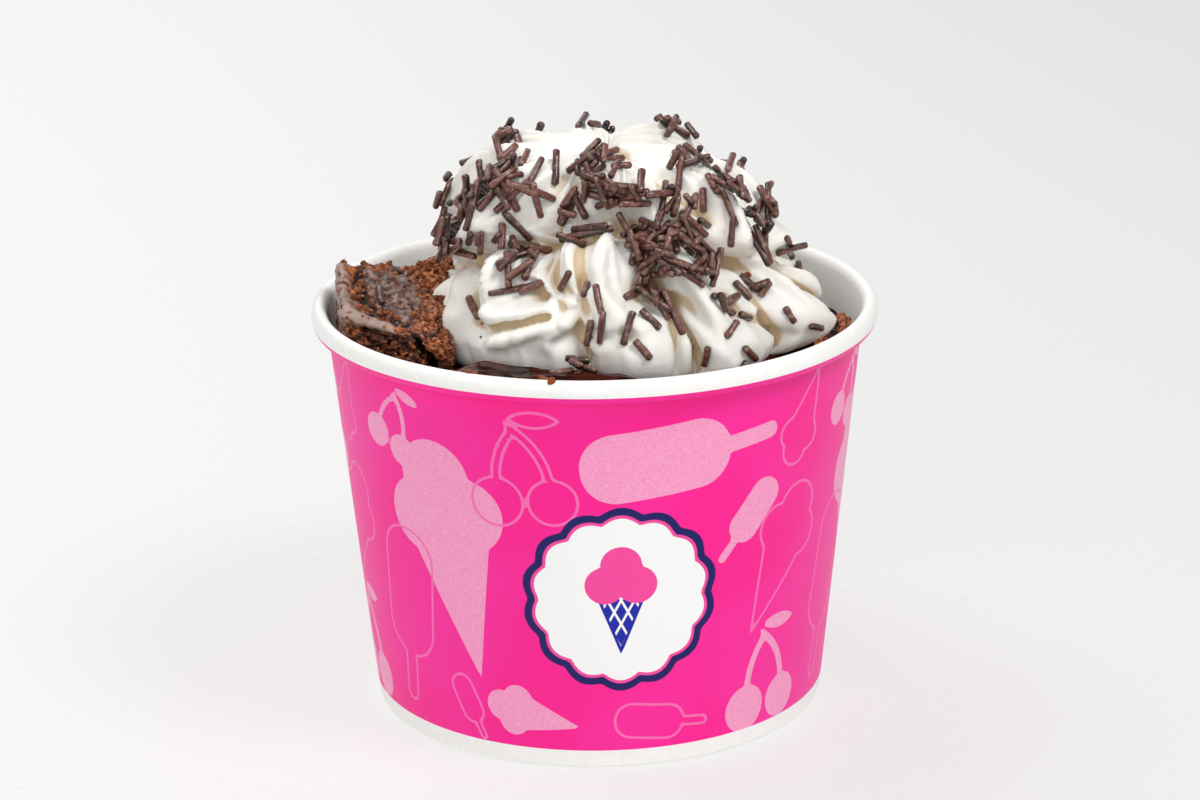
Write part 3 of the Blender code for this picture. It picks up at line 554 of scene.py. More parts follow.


# Baked brownie: a satin grey brown skin, wrinkled and broken by crumbs, with
# pale glossy lips, the skin's grey and the lips' paleness partly painted sheen,
# over a matt crumb that runs from near black in its holes, as painted shade, to
# orange brown where it was torn in the light, painted lighter on its tops and
# darker at its far side as painted shade from the cream.
baked = finish_of("baked_brownie", IOR=1.42, Specular_IOR_Level=0.35, Coat_Roughness=0.25)
spot = node(baked, "TexCoord")
crust = node(baked, "Attribute", attribute_name="crust")
wrinkles = node(baked, "TexNoise", spot, 1 / (1.5 * MM), 4.0, 0.6)
cloudy = node(baked, "MapRange", node(baked, "TexNoise", spot, 1 / (4.0 * MM), 4.0), 0.35, 0.65)
# the skin's pale grey and the paler lips are partly their own colour and partly painted sheen
skin = node(baked, "Mix", cloudy, linear("#4C2C22"), linear("#9A7A6A"))
skin = node(baked, "Mix", node(baked, "MapRange", wrinkles, 0.55, 0.38), skin, linear("#34170F"))
skin = node(baked, "Mix", node(baked, "Attribute", attribute_name="lip"), skin, linear("#A08578"))
fine = node(baked, "TexNoise", spot, 1 / (0.9 * MM), 3.0, 0.6)
dark = node(baked, "Mix", node(baked, "MapRange", fine, 0.36, 0.68), linear("#240B06"), linear("#7E4228"))
orange = node(baked, "Mix", node(baked, "MapRange", fine, 0.36, 0.62), linear("#5A210D"), linear("#CC7A46"))
torn = node(baked, "MapRange", node(baked, "TexNoise", spot, 1 / (2.2 * MM), 3.0), 0.44, 0.66)
crumb = node(baked, "Mix", torn, dark, orange)
# the torn orange, with its painted light on tops and painted shade under the cream
crumb = node(baked, "Mix", node(baked, "Attribute", attribute_name="warm"), crumb, orange)
# painted shade: the crumb turns near black where it lies deepest in its holes
pit = node(baked, "MapRange", node(baked, "Attribute", attribute_name="pit"), 0.10, 0.6)
crumb = node(baked, "Mix", pit, crumb, linear("#1C0A06"))
join(baked, node(baked, "Mix", crust, crumb, skin), "Base Color")
join(baked, node(baked, "MapRange", crust, 0.2, 0.8, 0.5, 0.3), "Roughness")
join(baked, node(baked, "MapRange", crust, 0.2, 0.8, 0.1, 0.38), "Coat Weight")
open_crumb = node(baked, "Bump", fine, 0.30 * MM)
join(baked, node(baked, "Bump", wrinkles, 0.25 * MM, open_crumb), "Normal")
brownies = []
# name, block, seed, how finely cut, and how far its crust reaches from the left
for name, block, seed, cuts, crumb_from in (
        ("brownie_left", BROWNIE_LEFT, 0.0, 80, 16.5),
        ("brownie_tucked", BROWNIE_TUCKED, 5.3, 34, 0.0),
        ("brownie_right", BROWNIE_RIGHT, 10.6, 34, 0.0)):
    piece = torn_brownie("torn_" + name, block, seed, cuts, crumb_from)
    brownies.append(piece)
    piece.data.materials.append(baked)
    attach(piece, "root")
    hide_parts(name)


# Whipped cream
# Sweet cream whipped with gas and piped through a star nozzle in one turning
# swirl: a wide skirt of folds, and a cap of folds that overhangs it in front.
CREAM_WAIST = 81.0
CREAM_RADIUS = 34.9
CREAM_RISE = 34.8
CREAM_SQUARENESS = 2.6
SEAT_RADIUS = 35.0
SEAT_HEIGHT = 76.35
CREAM_STEPS = 500
CREAM_ROWS = 170
ROWS_ABOVE_WAIST = 0.90
FLARE = 5.2
FLARE_HEIGHTS = (96, 82)
SQUEEZE = 5.0
SQUEEZE_AT = -88.0
SQUEEZE_FADE = (62, 30)
SKIRT_CRESTS = (-104, -80, -60, -40, -6, 24, 68, 86, 106, 126, 150, 173, 196, 219, 238)
SKIRT_DEPTH_PER_DEGREE = 0.27
SKIRT_WIDEST = 28.0
SKIRT_DEPTH_HEIGHTS = (113, 100)
SKIRT_TWIST = 12.5
SKIRT_TWIST_FROM = 97.0
SKIRT_TWIST_OVER = 17.0
SKIRT_LEAN = 2.4
LIFT = 2.8
LIFT_AT = -12.0
LIFT_FADE = (46, 20)
CALM = 0.65
CALM_AT = -28.0
CALM_FADE = (24, 14)
CALM_HEIGHTS = (93, 88)
PETAL = 2.5
PETAL_AT = 72.0
PETAL_FADE = (26, 8)
PETAL_HEIGHTS = (90, 80)
CAP_CRESTS = (-84, -36, 11, 70, 112, 150, 192, 233)
CAP_DEPTH = 3.5
CAP_DEPTH_PER_DEGREE = 0.075
CAP_TWIST_PER_MM = 1.3
CAP_TWIST_FROM = 114.0
CAP_LEAN = 1.6
SHOULDER = 2.8
SHOULDER_AT = 82.0
SHOULDER_FADE = (72, 20)
SHOULDER_HEIGHTS = (92, 101)
LEDGE_LOW = 90.0
LEDGE_ARCH = 20.0
TUCK = 3.6
TUCK_BELOW = 2.2
TUCK_WIDTH = 2.4
LIP = 1.3
LIP_ABOVE = 2.4
LIP_WIDTH = 3.0
STREAK = 0.8
CRISPNESS = 1.2
CRISP_ROUNDS = 24
CRISP_LIMITS = (-0.8, 0.6)
SHADE_ROUNDS = 90
# lines on the swirl, each through (angle, height), with its rise, half width and sharpness
CREAM_LINES = (
    (((-38, 106), (-22, 108), (-8, 107)), -4.2, 4.4, 2),
    (((-10, 104), (-9, 100), (-7, 95)), -3.6, 2.2, 2),
    (((-1, 109), (-3, 98), (-2, 94), (3, 89.5), (9, 86.5)), 2.6, 1.5, 1.3),
    (((3, 110), (20, 106), (40, 100)), -3.0, 3.6, 2),
    (((-43, 80), (-35, 80.8), (-28, 83), (-21, 85.5), (-13, 87.5)), 3.0, 1.4, 1.3),
    (((-40, 87.5), (-33, 87), (-28, 87.5), (-21, 89.5)), 2.2, 1.4, 1.3),
    (((-33, 83.8), (-27, 85.6), (-21, 87.4)), -2.2, 1.2, 2),
    (((-28, 96), (-24, 93.5), (-20, 92), (-12, 91)), 2.2, 1.4, 1.3),
    (((-13, 87), (-17, 84.5), (-17, 82.5), (-13, 80)), 2.0, 1.3, 1.3),
    (((-8, 85), (-2, 84.6), (5, 84.8)), -2.0, 2.2, 2),
    (((20, 91), (19, 86), (20, 80)), -3.2, 1.4, 2),
    (((41, 88.4), (50, 84.8), (58, 81)), -1.8, 2.0, 2),
    (((42, 113), (48, 108), (50, 102)), -2.2, 3.4, 2),
    (((-105, 98), (-66, 99)), -2.0, 7.0, 2),
    (((-100, 89), (-70, 90)), -3.2, 4.5, 2),
)


def wander(theta, height, seed, turns, rise):
    """Smooth noise round the swirl, -1 to 1; theta in radians."""
    places = zip(turns * np.cos(theta) + seed * 7.3, turns * np.sin(theta) - seed * 3.1, rise * height)
    return np.array([noise.noise(Vector(p)) for p in places])


def between(angle, crests):
    """How far each angle lies between its two crests (0 to 1), and their distance."""
    ring = np.array(crests + (crests[0] + 360,), float)
    turned_angle = (angle - ring[0]) % 360 + ring[0]
    k = np.clip(np.searchsorted(ring, turned_angle, side="right") - 1, 0, len(crests) - 1)
    distance = ring[k + 1] - ring[k]
    return (turned_angle - ring[k]) / distance, distance


def skewed(part, skew):
    """Move the crease from half way between two crests to the share skew."""
    return np.where(part < skew, part / skew * 0.5, 0.5 + (part - skew) / (1 - skew) * 0.5)


def round_fold(part, skew):
    """1 on a crest, 0 in a sharp crease."""
    return np.abs(np.cos(math.pi * skewed(part, skew))) ** 0.72


def sharp_fold(part, skew):
    """1 on a sharp crest, 0 in a round hollow."""
    return 1 - np.sqrt(np.sin(math.pi * skewed(part, skew)) ** 2 + 0.008)


def near(angle, middle, fade):
    """1 near the angle middle, 0 further off, between the two distances of fade."""
    return smooth(np.abs(angle - middle), *fade)


def bump(height, middle, width):
    return np.exp(-((height - middle) / width) ** 2)


def line_weight(angle, height, radius, points, width, sharpness):
    """1 on a line through (angle, height) points, fading over width."""
    nearest = np.full(angle.shape, 1e9)
    for (a0, h0), (a1, h1) in zip(points, points[1:]):
        along = np.radians(a1 - a0) * radius
        up = h1 - h0
        x = np.radians(angle - a0) * radius
        y = height - h0
        share = np.clip((x * along + y * up) / (along * along + up * up), 0, 1)
        nearest = np.minimum(nearest, np.hypot(x - share * along, y - share * up))
    return np.exp(-(nearest / width) ** sharpness)


def skirt_twist(height):
    """How far the skirt's folds have turned at the height, in degrees."""
    return SKIRT_TWIST * (np.maximum(SKIRT_TWIST_FROM - height, 0) / SKIRT_TWIST_OVER) ** 1.5


def skirt_folds(angle, height, slow, middle):
    """How far the skirt's folds stand out, and their crests, 0 to 1."""
    part, distance = between(angle - skirt_twist(height) + 9 * slow + 5 * middle, SKIRT_CRESTS)
    rounder = smooth(height, 93, 82)
    crest = rounder * round_fold(part, 0.58) + (1 - rounder) * sharp_fold(part, 0.6)
    calm = 1 - CALM * near(angle, CALM_AT, CALM_FADE) * smooth(height, *CALM_HEIGHTS)
    widest = np.minimum(distance, SKIRT_WIDEST)
    depth = SKIRT_DEPTH_PER_DEGREE * widest * smooth(height, *SKIRT_DEPTH_HEIGHTS) * calm
    return depth * (crest - 0.5), crest


def cap_folds(angle, height, polar, slow, middle):
    """How far the cap's folds stand out, and their crests, 0 to 1."""
    twist = -CAP_TWIST_PER_MM * np.maximum(CAP_TWIST_FROM - height, 0)
    part, distance = between(angle - twist + 12 * slow + 6 * middle, CAP_CRESTS)
    crest = 0.45 * round_fold(part, 0.5) + 0.55 * sharp_fold(part, 0.5)
    depth = (CAP_DEPTH + CAP_DEPTH_PER_DEGREE * distance) * smooth(polar, 7, 43)
    return depth * (crest - 0.42), crest


def cream_surface(angle, polar):
    """Points of the swirl; polar runs 0 at the crown, 90 at the waist, 180 under the middle."""
    theta = np.radians(angle)
    lifted = LIFT * near(angle, LIFT_AT, LIFT_FADE)
    flare = FLARE - SQUEEZE * near(angle, SQUEEZE_AT, SQUEEZE_FADE)
    upper = np.radians(np.clip(polar, 0, 90))
    s = np.sin(upper) ** (2 / CREAM_SQUARENESS)
    c = np.cos(upper) ** (2 / CREAM_SQUARENESS)
    height = CREAM_WAIST + CREAM_RISE * c
    radius = CREAM_RADIUS * s + flare * smooth(height, *FLARE_HEIGHTS)
    out = s ** (CREAM_SQUARENESS - 1) / CREAM_RADIUS
    up = c ** (CREAM_SQUARENESS - 1) / CREAM_RISE
    length = np.hypot(out, up) + 1e-9
    out = out / length
    up = up / length
    slow = wander(theta, height, 1.0, 1.1, 0.03)
    middle = wander(theta, height, 5.0, 2.4, 0.06)
    quick = wander(theta, height, 9.0, 5.0, 0.12)
    ledge = LEDGE_LOW + LEDGE_ARCH * ((1 + np.cos(theta)) / 2) ** 3 + 2.0 * middle
    above = smooth(height, ledge - 0.9, ledge + 0.9)
    skirt_rise, skirt_crest = skirt_folds(angle, height, slow, middle)
    cap_rise, cap_crest = cap_folds(angle, height, polar, slow, middle)
    rise = (1 - above) * skirt_rise + above * cap_rise + quick
    lip = LIP * bump(height, ledge + LIP_ABOVE, LIP_WIDTH)
    tuck = TUCK * bump(height, ledge - TUCK_BELOW, TUCK_WIDTH)
    rise = rise + (lip - tuck) * smooth(polar, 11, 34)
    cap_twist = CAP_TWIST_PER_MM * np.maximum(CAP_TWIST_FROM - height, 0)
    flow = angle - (1 - above) * skirt_twist(height) + above * cap_twist
    streaks = 1 - np.abs(wander(np.radians(flow), height, 13.0, 9.0, 0.07))
    rise = rise + STREAK * (streaks ** 4 - 0.5) * smooth(polar, 8, 30)
    for points, line_rise, width, sharpness in CREAM_LINES:
        rise = rise + line_rise * line_weight(angle, height, radius, points, width, sharpness)
    rise = rise + PETAL * smooth(height, *PETAL_HEIGHTS) * near(angle, PETAL_AT, PETAL_FADE)
    rise = rise - SHOULDER * smooth(height, *SHOULDER_HEIGHTS) * near(angle, SHOULDER_AT, SHOULDER_FADE)
    lean = (1 - above) * SKIRT_LEAN * (skirt_crest - 0.5) + above * CAP_LEAN * (cap_crest - 0.5)
    radius = radius + rise * out
    height = height + rise * up + lifted * smooth(polar, 60, 90)
    theta = theta - lean * smooth(polar, 6, 29) / np.maximum(radius, 6)
    curl = np.clip((polar - 90) / 54, 0, 1) * math.pi / 2
    inward = np.clip((polar - 144) / 36, 0, 1)
    curled = (SEAT_RADIUS + (radius - SEAT_RADIUS) * np.cos(curl) ** 0.8) * (1 - inward)
    waist = CREAM_WAIST + lifted
    radius = np.where(polar > 90, curled, radius)
    height = np.where(polar > 90, waist + (SEAT_HEIGHT - waist) * np.sin(curl), height)
    x = CREAM_AXIS[0] + radius * np.sin(theta)
    y = CREAM_AXIS[1] - radius * np.cos(theta)
    return np.stack([x, y, height], -1)


bpy.ops.mesh.primitive_uv_sphere_add(segments=CREAM_STEPS, ring_count=CREAM_ROWS, radius=1)
swirl = bpy.context.object
swirl.name = "piped_cream"
bpy.ops.object.shade_smooth()
bpy.ops.object.select_all(action="DESELECT")
ball = of_vertices(swirl, "co")
angle = np.degrees(np.arctan2(ball[:, 0], -ball[:, 1]))
ring = np.degrees(np.arccos(np.clip(ball[:, 2], -1, 1))) / 180
polar = np.where(ring < ROWS_ABOVE_WAIST, 90 * ring / ROWS_ABOVE_WAIST,
                 90 + 90 * (ring - ROWS_ABOVE_WAIST) / (1 - ROWS_ABOVE_WAIST))
move_to(swirl, cream_surface(angle, polar))


def hollows_of(thing, rounds):
    """How deep each vertex lies below its surroundings, in mm."""
    points = points_of(thing)
    ends = np.empty(len(thing.data.edges) * 2, dtype=np.int32)
    thing.data.edges.foreach_get("vertices", ends)
    first, second = ends[0::2], ends[1::2]
    neighbours = np.bincount(ends, minlength=len(points))
    soft = points.copy()
    for _ in range(rounds):
        total = [np.bincount(first, soft[second, axis], len(points)) for axis in range(3)]
        total = [total[axis] + np.bincount(second, soft[first, axis], len(points)) for axis in range(3)]
        soft = np.stack(total, -1) / neighbours[:, None]
    return ((soft - points) * of_vertices(thing, "normal")).sum(1)


# crests a little sharper and creases a little deeper than the smooth form
crisp = np.clip(-CRISPNESS * hollows_of(swirl, CRISP_ROUNDS), *CRISP_LIMITS)
move_to(swirl, points_of(swirl) + of_vertices(swirl, "normal") * crisp[:, None])
# the depth of each hollow, which the material paints as a tan shade
keep_values(swirl, hollow=hollows_of(swirl, SHADE_ROUNDS))

# Whipped cream: a soft white body that lets light in, with a satin skin of fine
# bubbles. Its hollows are painted tan as shade, the deeper the darker.
whipped = finish_of(
    "whipped_dairy_cream", Roughness=0.5, IOR=1.4, Subsurface_Weight=0.3, Subsurface_Scale=0.001,
    Subsurface_Radius=(1.0, 0.8, 0.55))
spot = node(whipped, "TexCoord")
tone = node(whipped, "MapRange", node(whipped, "TexNoise", spot, 1 / (6.0 * MM), 2.0), 0.3, 0.7)
pure = node(whipped, "Mix", tone, linear("#FAF3E9"), linear("#FDF9F2"))
# painted shade: the colour turns tan in the hollows
painted_shade = node(whipped, "MapRange", node(whipped, "Attribute", attribute_name="hollow"), 0.0, 0.6)
join(whipped, node(whipped, "Mix", painted_shade, pure, linear("#DAC4A2")), "Base Color")
bubbles = node(whipped, "Bump", node(whipped, "TexNoise", spot, 1 / (0.45 * MM), 3.0), 0.05 * MM)
uneven = node(whipped, "TexNoise", spot, 1 / (1.8 * MM), 3.0)
join(whipped, node(whipped, "Bump", uneven, 0.12 * MM, bubbles), "Normal")
swirl.data.materials.append(whipped)
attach(swirl, "root")
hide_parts("whipped_cream")


# Chocolate sprinkles
# Short extruded rods of chocolate, 1.5 mm thick and broken to any length. They
# are shaken over the cream and roll down into its valleys, where they pile up.
SPRINKLE_RADIUS = 0.75
SPRINKLE_TYPICAL = 5.6
SPRINKLE_SHORTEST = 2.2
SPRINKLE_LONGEST = 11.5
SPRINKLE_SINK = 0.30
SPRINKLE_UNEVEN = 0.36
SPRINKLE_THICKNESS = (0.90, 1.08)
SPRINKLE_KNOBS = (0.86, 1.08)
SPRINKLE_BEND = 0.05
SPRINKLE_SEED = 11
SPRINKLE_AIM = (3.0, 1.0, 78.0)
# how high they pile up, how far they keep off the other food, and how closely crossed rods lie
SPRINKLE_PILE = 3.6
SPRINKLE_FREE = 1.2
SPRINKLE_NESTLE = 0.93
# how far a broken end is rounded in, and over what length
SPRINKLE_END = 0.62
SPRINKLE_BEVEL = 0.28
SWIRL_REACH = 40.0
LOOK_FROM = 12.0
SPRINKLE_SIDES = 8
SPRINKLE_ROWS = (-1, -0.999, -0.5, 0, 0.5, 0.999, 1)
SPRINKLE_RINGS = len(SPRINKLE_ROWS)
# where they fell: angle, elevation, spread in mm and how many
SPRINKLE_HEAPS = (
    (-74, 60, 3.2, 9), (-87, 43, 2.8, 7), (-50, 49, 3.0, 25), (-40, 55, 2.2, 5), (-9, 72, 1.2, 8),
    (-8, 63, 1.4, 7), (80, 84, 2.4, 2), (-20, 55, 1.8, 7), (0, 57, 2.0, 6), (7, 53, 2.0, 8),
    (-9, 43, 1.6, 4), (-96, 31, 2.0, 4), (-64, 32, 2.6, 20), (-51, 36, 2.6, 21), (-52, 28, 2.0, 6),
    (-36, 38, 2.6, 14), (-31, 31, 2.2, 8), (-14, 29, 1.4, 3), (-70, 22, 1.2, 3), (95, 66, 2.2, 3),
    (64, 60, 2.4, 6), (59, 51, 2.4, 7), (62, 43, 2.2, 4), (88, 38, 2.6, 6), (58, 33, 2.4, 8),
    (78, 26, 1.8, 5), (25, 53, 2.2, 8), (37, 48, 2.2, 10), (19, 46, 2.6, 20), (38, 41, 2.4, 18),
    (10, 40, 2.2, 14), (24, 39, 2.4, 20), (15, 33, 2.4, 17), (16, 28, 2.2, 12), (30, 29, 2.6, 12),
    (13, 22, 1.6, 4), (18, 18, 1.6, 3), (34, 20, 1.0, 2), (58, 20, 2.0, 3), (110, 8, 2.6, 6),
    (108, 44, 8.0, 12), (146, 56, 9.0, 14), (186, 42, 10.0, 14), (226, 52, 9.0, 14), (262, 40, 8.0, 10),
)
# short pieces that filled the valleys at the front
FILLING_TYPICAL = 4.5
FILLING_HEAPS = (
    (-2, 57, 2.4, 10), (7, 52, 2.6, 16), (14, 50, 2.6, 14), (20, 46, 3.2, 30), (29, 44, 3.0, 22),
    (12, 41, 2.4, 16), (22, 38, 2.8, 26), (30, 36, 2.6, 14), (16, 32, 2.6, 16), (24, 31, 2.2, 8),
    (-56, 45, 3.2, 14), (-48, 34, 2.8, 12), (-42, 36, 2.4, 9), (62, 47, 2.6, 9), (-9, 66, 2.0, 8),
)
# those that lie alone: angle, elevation, turn from level and length
STRAY_SPRINKLES = (
    (-34, 63, 71, 7.6), (-41, 59, 97, 7.0), (7, 64, 127, 4.2), (-27, 49, 103, 5.6), (-13, 53, 107, 5.0),
    (-4, 50, 105, 5.6), (-16, 42, 90, 6.9), (-33, 24, 10, 9.2), (-29, 26, 14, 5.2), (-47, 21, 45, 5.6),
    (-51, 16, 125, 5.4), (-10, 17, 145, 5.8), (-6, 21, 2, 5.2), (-7, 26, 140, 3.6), (-3, 23, 110, 6.2),
    (-5, 15, 85, 5.2), (-2, 16, 80, 7.0), (5, 16, 78, 6.9), (9, 26, 4, 8.5), (11, 17, 88, 5.3),
    (16, 21, 123, 7.7), (18, 14, 97, 6.0), (8, 10, 129, 4.8), (27, 6, 66, 5.0), (38, 5, 137, 5.1),
    (35, 2, 38, 3.6), (54, 62, 96, 7.0), (51, 55, 50, 8.8), (56, 44, 110, 8.0), (51, 37, 88, 6.4),
    (34, 12, 35, 4.6), (38, 16, 135, 5.4), (46, 13, 157, 4.3), (44, 19, 27, 5.0), (52, 20, 90, 4.8),
    (59, 21, 139, 6.0), (59, 17, 30, 3.6), (60, 10, 115, 3.8), (67, 5, 155, 4.4),
)
# on the fudge and on the left brownie: x, y, turn and length
FUDGE_SPRINKLES = (
    (-6.4, -46.0, 20, 4.6), (-3.4, -46.6, 75, 4.0), (-1.2, -46.2, 130, 4.4), (-3.6, -44.4, 5, 4.8),
)
BROWNIE_SPRINKLE = (-42.8, -8.6, -58, 7.2)


def sprinkle_plan(heaps, typical, seed):
    """Where each sprinkle fell, from its heap: angle, elevation, turn and length."""
    draw = random.Random(seed)
    plan = []
    for angle, elevation, spread_mm, count in heaps:
        for _ in range(count):
            away = spread_mm * abs(draw.gauss(0, 0.75))
            way = draw.uniform(0, 2 * math.pi)
            reach = SWIRL_REACH * max(0.25, math.cos(math.radians(elevation)))
            place = angle + math.degrees(away * math.cos(way) / reach)
            lift = elevation + math.degrees(away * math.sin(way) / SWIRL_REACH)
            length = typical * math.exp(SPRINKLE_UNEVEN * draw.gauss(0, 1))
            length = min(SPRINKLE_LONGEST, max(SPRINKLE_SHORTEST, length))
            plan.append((place, min(lift, 88), draw.uniform(0, 180), length))
    return sorted(plan, key=lambda item: -item[3])


def tree_of(things):
    """A search tree of the surfaces of several pieces, in metres."""
    vertices = []
    polygons = []
    for thing in things:
        start = len(vertices)
        vertices += [v.co for v in thing.data.vertices]
        polygons += [[start + i for i in p.vertices] for p in thing.data.polygons]
    return BVHTree.FromPolygons(vertices, polygons)


def resting(heights):
    """The height and tilt of a rod that rests on (place, height) points on both sides of its middle."""
    left = [p for p in heights if p[0] <= 0]
    right = [p for p in heights if p[0] >= 0]
    best = None
    for a in left:
        for b in right:
            if b[0] - a[0] < 1e-6:
                continue
            tilt = (b[1] - a[1]) / (b[0] - a[0])
            level = a[1] - tilt * a[0]
            if all(level + tilt * x >= h - 0.02 for x, h in heights):
                if best is None or level < best[0]:
                    best = (level, tilt)
    if best is None:
        best = (max(h for _, h in heights), 0.0)
    return best


def settle_rod(tree, start, normal, turn, length, rods):
    """Lay a rod on the surface and on the rods that already lie there; all in metres."""
    level_way = Vector((0, 0, 1)).cross(normal).normalized()
    way = Matrix.Rotation(math.radians(turn), 3, normal) @ level_way
    heights = []
    for step in np.linspace(-0.5, 0.5, 7):
        spot = start + way * step * length * MM
        below, _, _, away = tree.ray_cast(spot + normal * LOOK_FROM * MM, -normal, 0.03)
        level = -3.0 if below is None else (LOOK_FROM * MM - away) / MM
        level = level + SPRINKLE_RADIUS - SPRINKLE_SINK
        for middle, axis, half in rods:
            offset = spot - middle
            if offset.length > (half + 4) * MM:
                continue
            along_rod = max(-half * MM, min(half * MM, offset.dot(axis)))
            gap = offset - axis * along_rod
            up_gap = gap.dot(normal)
            flat_gap = (gap - normal * up_gap).length / MM
            if flat_gap < 2 * SPRINKLE_RADIUS:
                climb = math.sqrt((2 * SPRINKLE_RADIUS) ** 2 - flat_gap ** 2) * SPRINKLE_NESTLE
                level = max(level, climb - up_gap / MM)
        heights.append((step * length, level))
    level, tilt = resting(heights)
    tilt = max(-0.9, min(0.9, tilt))
    return start + normal * level * MM, (way + normal * tilt).normalized(), level


cream_tree = tree_of([swirl])
others = tree_of(brownies + [fudge])


def on_cream(angle, elevation):
    """The spot of the cream that lies that way from the swirl's middle, and its normal."""
    a = math.radians(angle)
    e = math.radians(elevation)
    way = Vector((math.sin(a) * math.cos(e), -math.cos(a) * math.cos(e), math.sin(e)))
    return cream_tree.ray_cast((Vector(SPRINKLE_AIM) + way * 80) * MM, -way)[:2]


rods = []
ways_up = []
plan = list(STRAY_SPRINKLES) + sprinkle_plan(SPRINKLE_HEAPS, SPRINKLE_TYPICAL, SPRINKLE_SEED)
plan += sprinkle_plan(FILLING_HEAPS, FILLING_TYPICAL, SPRINKLE_SEED + 2)
for angle, elevation, turn, length in plan:
    start, normal = on_cream(angle, elevation)
    middle, axis, level = settle_rod(cream_tree, start, normal, turn, length, rods)
    spots = [middle + axis * step * length * MM for step in (-0.5, 0, 0.5)]
    free = all(others.find_nearest(spot)[3] > SPRINKLE_FREE * MM for spot in spots)
    if free and level < SPRINKLE_PILE:
        rods.append((middle, axis, length / 2))
        ways_up.append(normal)
for under, places in ((fudge, FUDGE_SPRINKLES), (brownies[0], (BROWNIE_SPRINKLE,))):
    surface = tree_of([under])
    for x, y, turn, length in places:
        start, normal, _, _ = surface.ray_cast(Vector((x, y, 150)) * MM, Vector((0, 0, -1)))
        middle, axis, level = settle_rod(surface, start, normal, turn, length, rods)
        rods.append((middle, axis, length / 2))
        ways_up.append(normal)


def piece_of(name, vertices, faces):
    """A new piece from its vertices, in metres, and faces."""
    mesh = bpy.data.meshes.new(name)
    mesh.from_pydata(vertices, [], faces)
    piece = bpy.data.objects.new(name, mesh)
    bpy.context.scene.collection.objects.link(piece)
    return piece


draw = random.Random(SPRINKLE_SEED + 1)
vertices = []
faces = []
tints = []
facing = []
for (middle, axis, half), way_up in zip(rods, ways_up):
    turn_to = Vector((0, 0, 1)).rotation_difference(axis) @ Quaternion((0, 0, 1), draw.uniform(0, 6.28))
    thick = SPRINKLE_RADIUS * draw.uniform(*SPRINKLE_THICKNESS)
    bend = draw.gauss(0, SPRINKLE_BEND) * half
    tint = draw.random()
    first = len(vertices)
    for row in range(SPRINKLE_RINGS):
        t = SPRINKLE_ROWS[row]
        if abs(t) == 1:
            end = SPRINKLE_END
            t = t * half
        else:
            end = 1
            t = t * (half - SPRINKLE_BEVEL)
        for side in range(SPRINKLE_SIDES):
            k = 2 * math.pi * side / SPRINKLE_SIDES
            knob = thick * end * draw.uniform(*SPRINKLE_KNOBS)
            spot = Vector((knob * math.cos(k) + bend * (1 - (t / half) ** 2), knob * math.sin(k), t))
            vertices.append(middle + (turn_to @ spot) * MM)
            tints.append(tint)
            facing.append((turn_to @ Vector((math.cos(k), math.sin(k), 0))).dot(way_up))
    for row in range(SPRINKLE_RINGS - 1):
        for side in range(SPRINKLE_SIDES):
            a = first + row * SPRINKLE_SIDES + side
            b = first + row * SPRINKLE_SIDES + (side + 1) % SPRINKLE_SIDES
            faces.append((a, b, b + SPRINKLE_SIDES, a + SPRINKLE_SIDES))
    faces.append(tuple(first + side for side in reversed(range(SPRINKLE_SIDES))))
    last = first + (SPRINKLE_RINGS - 1) * SPRINKLE_SIDES
    faces.append(tuple(last + side for side in range(SPRINKLE_SIDES)))
sprinkles = piece_of("chocolate_sprinkles", vertices, faces)
sprinkles.data.shade_smooth()
# how far each side faces up from the surface below, for the painted shade
keep_values(sprinkles, tint=tints, facing=facing)

# Compound chocolate: a satin brown with a slight bloom, lumpy from extrusion; the
# sides that face down into the cream are painted darker as shade.
chocolate = finish_of(
    "satin_chocolate_sprinkle", Roughness=0.3, IOR=1.5, Coat_Weight=0.5, Coat_Roughness=0.16)
spot = node(chocolate, "TexCoord")
tint = node(chocolate, "Attribute", attribute_name="tint")
brown = node(chocolate, "Mix", tint, linear("#4C251C"), linear("#7A483B"))
bloom = node(chocolate, "MapRange", node(chocolate, "TexNoise", spot, 1 / (1.0 * MM), 3.0), 0.5, 0.72)
brown = node(chocolate, "Mix", bloom, brown, linear("#A07566"))
# painted shade: sides facing down are darkened to near black
under_shade = node(chocolate, "MapRange", node(chocolate, "Attribute", attribute_name="facing"), 0.75, -0.35)
join(chocolate, node(chocolate, "Mix", under_shade, brown, linear("#2A110B")), "Base Color")
lumps = node(chocolate, "TexNoise", spot, 1 / (0.6 * MM), 3.0)
join(chocolate, node(chocolate, "Bump", lumps, 0.2 * MM), "Normal")
sprinkles.data.materials.append(chocolate)
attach(sprinkles, "root")


# Crumbs and a drip of fudge
# Loose crumbs from tearing the brownies, lying where they dropped: on the left
# and right pieces and on the rim. A little fudge was pushed over the rim.
CRUMB_SEED = 5
CRUMBS_LEFT = 330
CRUMBS_RIGHT = 60
CRUMBS_RIM = 26
CRUMB_TYPICAL = 0.42
CRUMB_LARGEST = 0.95
CRUMB_UNEVEN = 0.45
CRUMB_STEEPEST = 0.6
RIM_CRUMBS_AT = (-31.0, -24.0)
RIM_CRUMBS_RADIUS = (54.6, 0.35)
# crumbs that stuck to the cream: angle, elevation
CREAM_CRUMBS = ((-5, 13), (-46, 12), (-41, 9), (-72, 14), (30, 44), (-20, 40), (60, 24), (8, 36), (-50, 33))
# angle, radius and half width of the fudge that crosses the rim, from inside out
DRIP = (
    (-11.5, 52.4, 0.6), (-10.6, 53.6, 0.8), (-9.6, 54.6, 0.75), (-8.6, 55.4, 0.6), (-8.3, 56.0, 0.75),
    (-8.7, 56.5, 0.7), (-9.0, 56.8, 0.3),
)
DRIP_INSIDE = 54.2
DRIP_LOWEST = 83.3


